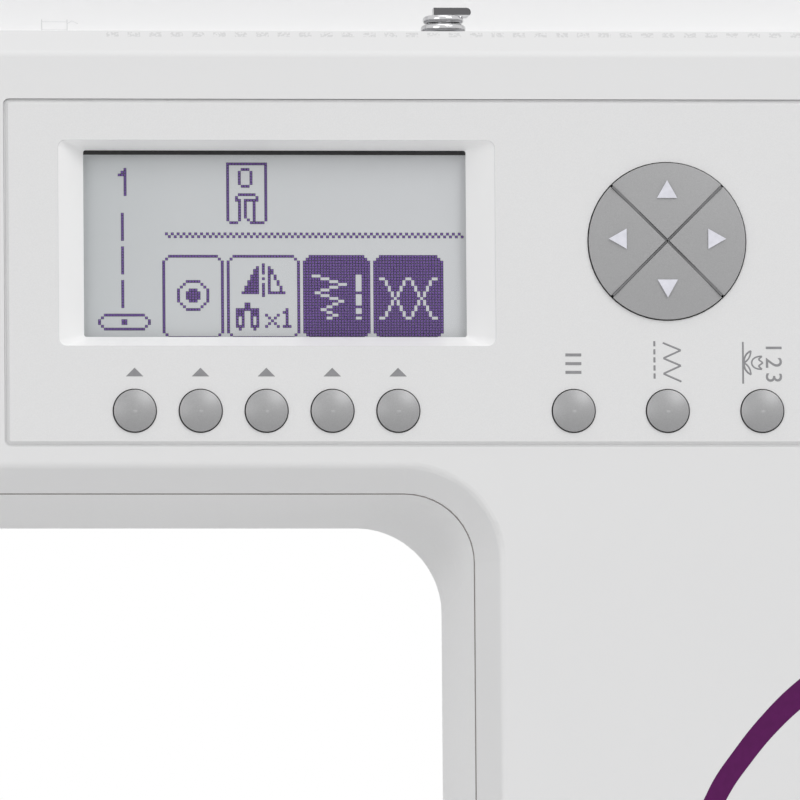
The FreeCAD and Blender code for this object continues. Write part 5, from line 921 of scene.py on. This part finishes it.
# ---------------------------------------------------------------------------
# Marks on the head, the dial, the slider and the switch
# ---------------------------------------------------------------------------
def make_button_marks():
    """Start and stop, reverse, and needle up and down."""
    def print_button(node, name, flats, lines):
        """Filled shapes and lines of stated widths on one button."""
        place, level = middle(node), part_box(node)[0].y
        pieces = [plate_shape(around(place, corners), level) for corners in flats]
        pieces += [stroke(around(place, points), width * MM, level) for points, width in lines]
        print_on(pieces, name, node, print_grey)

    line = 0.45
    print_button("start_button", "start_mark", [[(-2.6, -1.8), (-2.6, 1.8), (0.3, 0)]],
                 [([(1.9, -1.6), (1.9, 1.6)], 0.9)])
    hook = [(1.6, -2.2), (1.6, 0.6), *arc_points(0, 0.6, 1.6, 0, 180, 10), (-1.6, -0.8)]
    print_button("reverse_button", "reverse_mark", [[(-2.7, -0.7), (-0.5, -0.7), (-1.6, -2.4)]],
                 [(hook, line)])
    heads = [[(-1.1, way * 1.4), (1.1, way * 1.4), (0, way * 2.9)] for way in (-1, 1)]
    print_button("needle_button", "needle_mark", heads, [([(0, -1.5), (0, 1.5)], line)])


def make_dial_numbers():
    """Numbers 0 to 9 round the rim of the tension dial, and the index beside it."""
    low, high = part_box("tension_dial")
    centre, radius = (low + high) / 2, (high.z - low.z) / 2
    count, shown = 10, 4
    digits = []
    for i in range(count):
        digit = number_print(str(i), centre.x, 0, DIGIT_HIGH, -radius)
        turn = 2 * math.pi * (i - shown) / count
        digits.append(turned(digit, "X", turn, (0, centre.y, centre.z)))
    print_on(digits, "dial_numbers", "tension_dial", print_pale)
    tip = Vector((high.x + 1.6 * MM, 0, centre.z))
    index = plate_shape(around(tip, [(0, 0), (2.4, -1.3), (2.4, 1.3)]), front_face)
    print_on([index], "dial_index", "machine", print_grey)


def make_speed_wedge():
    """A rising wedge under the speed slider."""
    half, low, slim, tall = 17, -8.6, 0.35, 2.6
    corners = [(-half, low), (half, low), (half, low + tall), (-half, low + slim)]
    wedge = plate_shape(around(middle("speed_slider"), corners), front_face)
    print_on([wedge], "speed_wedge", "machine", print_grey)


def make_thread_marks():
    """Numbers and arrows that lead the thread down, up and down again on the head."""
    x = middle("take_up_lever").x
    low, line_top, digit_height = 172 * MM, 234 * MM, 239 * MM
    half, tall, line = 1.2 * MM, 2.2 * MM, 0.35 * MM
    pieces = []
    for number, shift, upward in (("1", -15.5, False), ("2", -6.0, True), ("3", 6.0, False)):
        place = x + shift * MM
        start, end = (low, line_top) if upward else (line_top, low)
        head = end - tall if upward else end + tall
        pieces.append(stroke([(place, start), (place, head)], line, front_face))
        arrow = [(place - half, head), (place + half, head), (place, end)]
        pieces.append(plate_shape(arrow, front_face))
        pieces.append(number_print(number, place, digit_height, DIGIT_HIGH, front_face))
    print_on(pieces, "thread_marks", "machine", print_grey)


def make_switch_marks():
    """The bar and the ring for on and off."""
    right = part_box("power_switch")[1].x
    place = middle("power_switch")
    bar_low, bar_long, ring_drop, ring_radius = 3.2 * MM, 3.4 * MM, 4.8 * MM, 1.7 * MM
    start = place.z + bar_low
    upright = stroke([(place.y, start), (place.y, start + bar_long)], 0.5 * MM, 0)
    ring_points = arc_points(place.y, place.z - ring_drop, ring_radius, 0, 360, 20)[:-1]
    ring = stroke(ring_points, 0.45 * MM, 0, smooth=True, closed=True)
    pieces = [face_right(shape, right) for shape in (upright, ring)]
    print_on(pieces, "switch_marks", "power_switch", print_pale)


make_button_marks()
make_dial_numbers()
make_speed_wedge()
make_thread_marks()
make_switch_marks()


# ---------------------------------------------------------------------------
# Guide lines on the needle plate
# ---------------------------------------------------------------------------
def make_plate_lines():
    """Seam guide lines on both sides of the needle, with their distances in millimetres."""
    low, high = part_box("needle_plate")
    needle = middle("needle")
    line, margin, short, digit, drop = 0.3 * MM, 3 * MM, 6 * MM, 2.6 * MM, 3.5 * MM
    near = (low.y + margin, low.y + margin + short)
    far = (needle.y + short, high.y - margin)
    pieces = []
    for distance in (15, 20, 25, 30):
        for side in (-1, 1):
            x = needle.x + side * distance * MM
            for start, end in (near, far):
                pieces.append(lay_flat(stroke([(x, start), (x, end)], line, 0), high.z))
    for distance in (15, 25):
        x = needle.x + distance * MM
        number = number_print(str(distance), x, far[0] - drop, digit, 0)
        pieces.append(lay_flat(number, high.z))
    print_on(pieces, "plate_lines", "machine", print_black)


make_plate_lines()


# ---------------------------------------------------------------------------
# The stitch chart inside the lid
# ---------------------------------------------------------------------------
LID_LEAN = 5.0                      # degrees off upright
LID_FACE_DEPTH, LID_FACE_HEIGHT = 72.7 * MM, 300 * MM    # a place on its inner face


def stitch_picture(kind, x, z, wide, high):
    """One sample stitch: straight, dashed, zigzag, stepped, scalloped or crossed."""
    low, top = z - high / 2, z + high / 2
    steps = 6
    rows = [low + high * i / steps for i in range(steps + 1)]
    if kind == 0:
        return [[(x, low), (x, top)]]
    if kind == 1:
        return [[(x, rows[i]), (x, rows[i] + high / steps / 2)] for i in range(steps)]
    left, right = x - wide / 2, x + wide / 2
    swing = [(right if i % 2 else left, row) for i, row in enumerate(rows)]
    if kind == 2:
        return [swing]
    if kind == 3:
        return [[(right if (i // 2) % 2 else left, row) for i, row in enumerate(rows)]]
    if kind == 4:
        radius = high / steps
        return [arc_points(x - wide / 3, row + radius, radius, -90, 90, 8) for row in rows[:-1:2]]
    return [swing, [(2 * x - place, row) for place, row in swing]]


def print_on_lid(pieces, name, material):
    """Lean prints, made upright at level 0, with the lid's inner face."""
    chart = turned(join_pieces(pieces), "X", -math.radians(LID_LEAN),
                   (0, LID_FACE_DEPTH, LID_FACE_HEIGHT))
    finish_piece(chart, name, "lid", material)


def make_lid_chart():
    """Two rows of numbered stitches printed on the inner face of the raised lid."""
    columns, rows, kinds = 16, 2, 6
    margin, first_row, row_step, digit_rise = 42 * MM, 20 * MM, 24 * MM, 9.5 * MM
    wide, high, digit, line = 4 * MM, 12 * MM, 3 * MM, 0.35 * MM
    left = lid_low.x + margin
    step = (lid_high.x - margin - left) / (columns - 1)
    pieces = []
    for row in range(rows):
        z = first_row + row_step * row
        for column in range(columns):
            x = left + step * column
            for points in stitch_picture((column + 3 * row) % kinds, x, z, wide, high):
                pieces.append(stroke(points, line, 0))
            number = str(row * columns + column + 1)
            pieces.append(number_print(number, x, z + digit_rise, digit, 0))
    print_on_lid(pieces, "lid_chart", print_faint)


def make_lid_sign():
    """A spool sign low on the lid."""
    place = Vector((-21 * MM, 0, -5 * MM))
    half_wide, half_high, core, thick, thin = 2.6, 1.3, 0.8, 0.3 * MM, 0.2 * MM
    thread = [(half_wide, 0.4), (3.6, 1.0), (4.8, 0.4)]
    pieces = []
    for side in (-1, 1):
        x, z = side * half_wide, side * core
        pieces.append(stroke(around(place, [(x, -half_high), (x, half_high)]), thick, 0))
        pieces.append(stroke(around(place, [(-half_wide, z), (half_wide, z)]), thin, 0))
    pieces.append(stroke(around(place, thread), thin, 0))
    print_on_lid(pieces, "lid_edge_print", print_pearl)


make_lid_chart()
make_lid_sign()


# ---------------------------------------------------------------------------
# Stage, light and camera
# ---------------------------------------------------------------------------
def make_floor():
    """A pale floor, which reaches further behind the machine than before it."""
    bpy.ops.mesh.primitive_plane_add(size=1, location=(0, 0.65, 0))
    floor = bpy.context.object
    floor.name = "floor"
    floor.scale = (4.4, 3.7, 1)
    material, tree, shader = new_material("floor_pale")
    tint_between(tree, add_noise(tree, 3, 2), (0.79, 0.79, 0.79), (0.81, 0.81, 0.81),
                 shader.inputs["Base Color"])
    shader.inputs["Roughness"].default_value = 0.9
    floor.data.materials.append(material)


def make_world():
    """Plain ambient light, with a white backdrop for the eye and for gloss."""
    world = bpy.data.worlds.new("studio")
    bpy.context.scene.world = world
    world.use_nodes = True
    tree = world.node_tree
    ambient = tree.nodes["Background"]
    ambient.inputs["Color"].default_value = (1, 1, 1, 1)
    ambient.inputs["Strength"].default_value = 0.47
    backdrop = tree.nodes.new("ShaderNodeBackground")
    backdrop.inputs["Color"].default_value = (1, 1, 1, 1)
    backdrop.inputs["Strength"].default_value = 1.0
    rays = tree.nodes.new("ShaderNodeLightPath").outputs
    seen = calculate(tree, "MAXIMUM", rays["Is Camera Ray"], rays["Is Glossy Ray"])
    seen = calculate(tree, "MAXIMUM", seen, rays["Is Transmission Ray"])
    choice = tree.nodes.new("ShaderNodeMixShader")
    tree.links.new(seen, choice.inputs["Fac"])
    tree.links.new(ambient.outputs[0], choice.inputs[1])
    tree.links.new(backdrop.outputs[0], choice.inputs[2])
    tree.links.new(choice.outputs[0], tree.nodes["World Output"].inputs["Surface"])


def add_lamp(name, place, target, power, size):
    """A round lamp that shines at a target."""
    bpy.ops.object.light_add(type="AREA", location=place)
    lamp = bpy.context.object
    lamp.name = name
    lamp.data.energy = power
    lamp.data.shape = "DISK"
    lamp.data.size = size
    lamp.visible_camera = False
    way = Vector(target) - Vector(place)
    lamp.rotation_euler = way.to_track_quat("-Z", "Y").to_euler()


def make_camera():
    """A long lens that looks up at the panel, from a little to the left."""
    target = Vector((0.04075, front_face, 0.20828))
    yaw, pitch, roll = math.radians(4.76), math.radians(5.35), math.radians(-0.42)
    distance, seen_width, sensor_width = 4.4, 0.1599, 36
    level = math.cos(pitch)
    way = Vector((math.sin(yaw) * level, math.cos(yaw) * level, math.sin(pitch)))
    bpy.ops.object.camera_add(location=target - way * distance)
    camera = bpy.context.object
    camera.rotation_mode = "QUATERNION"
    turn = way.to_track_quat("-Z", "Y").to_matrix() @ Matrix.Rotation(roll, 3, "Z")
    camera.rotation_quaternion = turn.to_quaternion()
    camera.data.sensor_width = sensor_width
    camera.data.lens = sensor_width * distance / seen_width
    camera.data.clip_end = 50
    bpy.context.scene.camera = camera


make_floor()
make_world()
centre = Vector((0.02, -0.03, 0.2))
add_lamp("key_lamp", (1.2, -1.9, 1.9), centre, 22.5, 1.4)
add_lamp("top_lamp", (0.0, -0.6, 2.3), centre, 7, 1.5)
add_lamp("fill_lamp", (-1.3, -1.6, 0.6), centre, 6, 1.2)
add_lamp("back_lamp", (0.4, 1.6, 1.3), centre, 12, 1.2)
make_camera()

view = bpy.context.scene.view_settings
view.view_transform = "Standard"
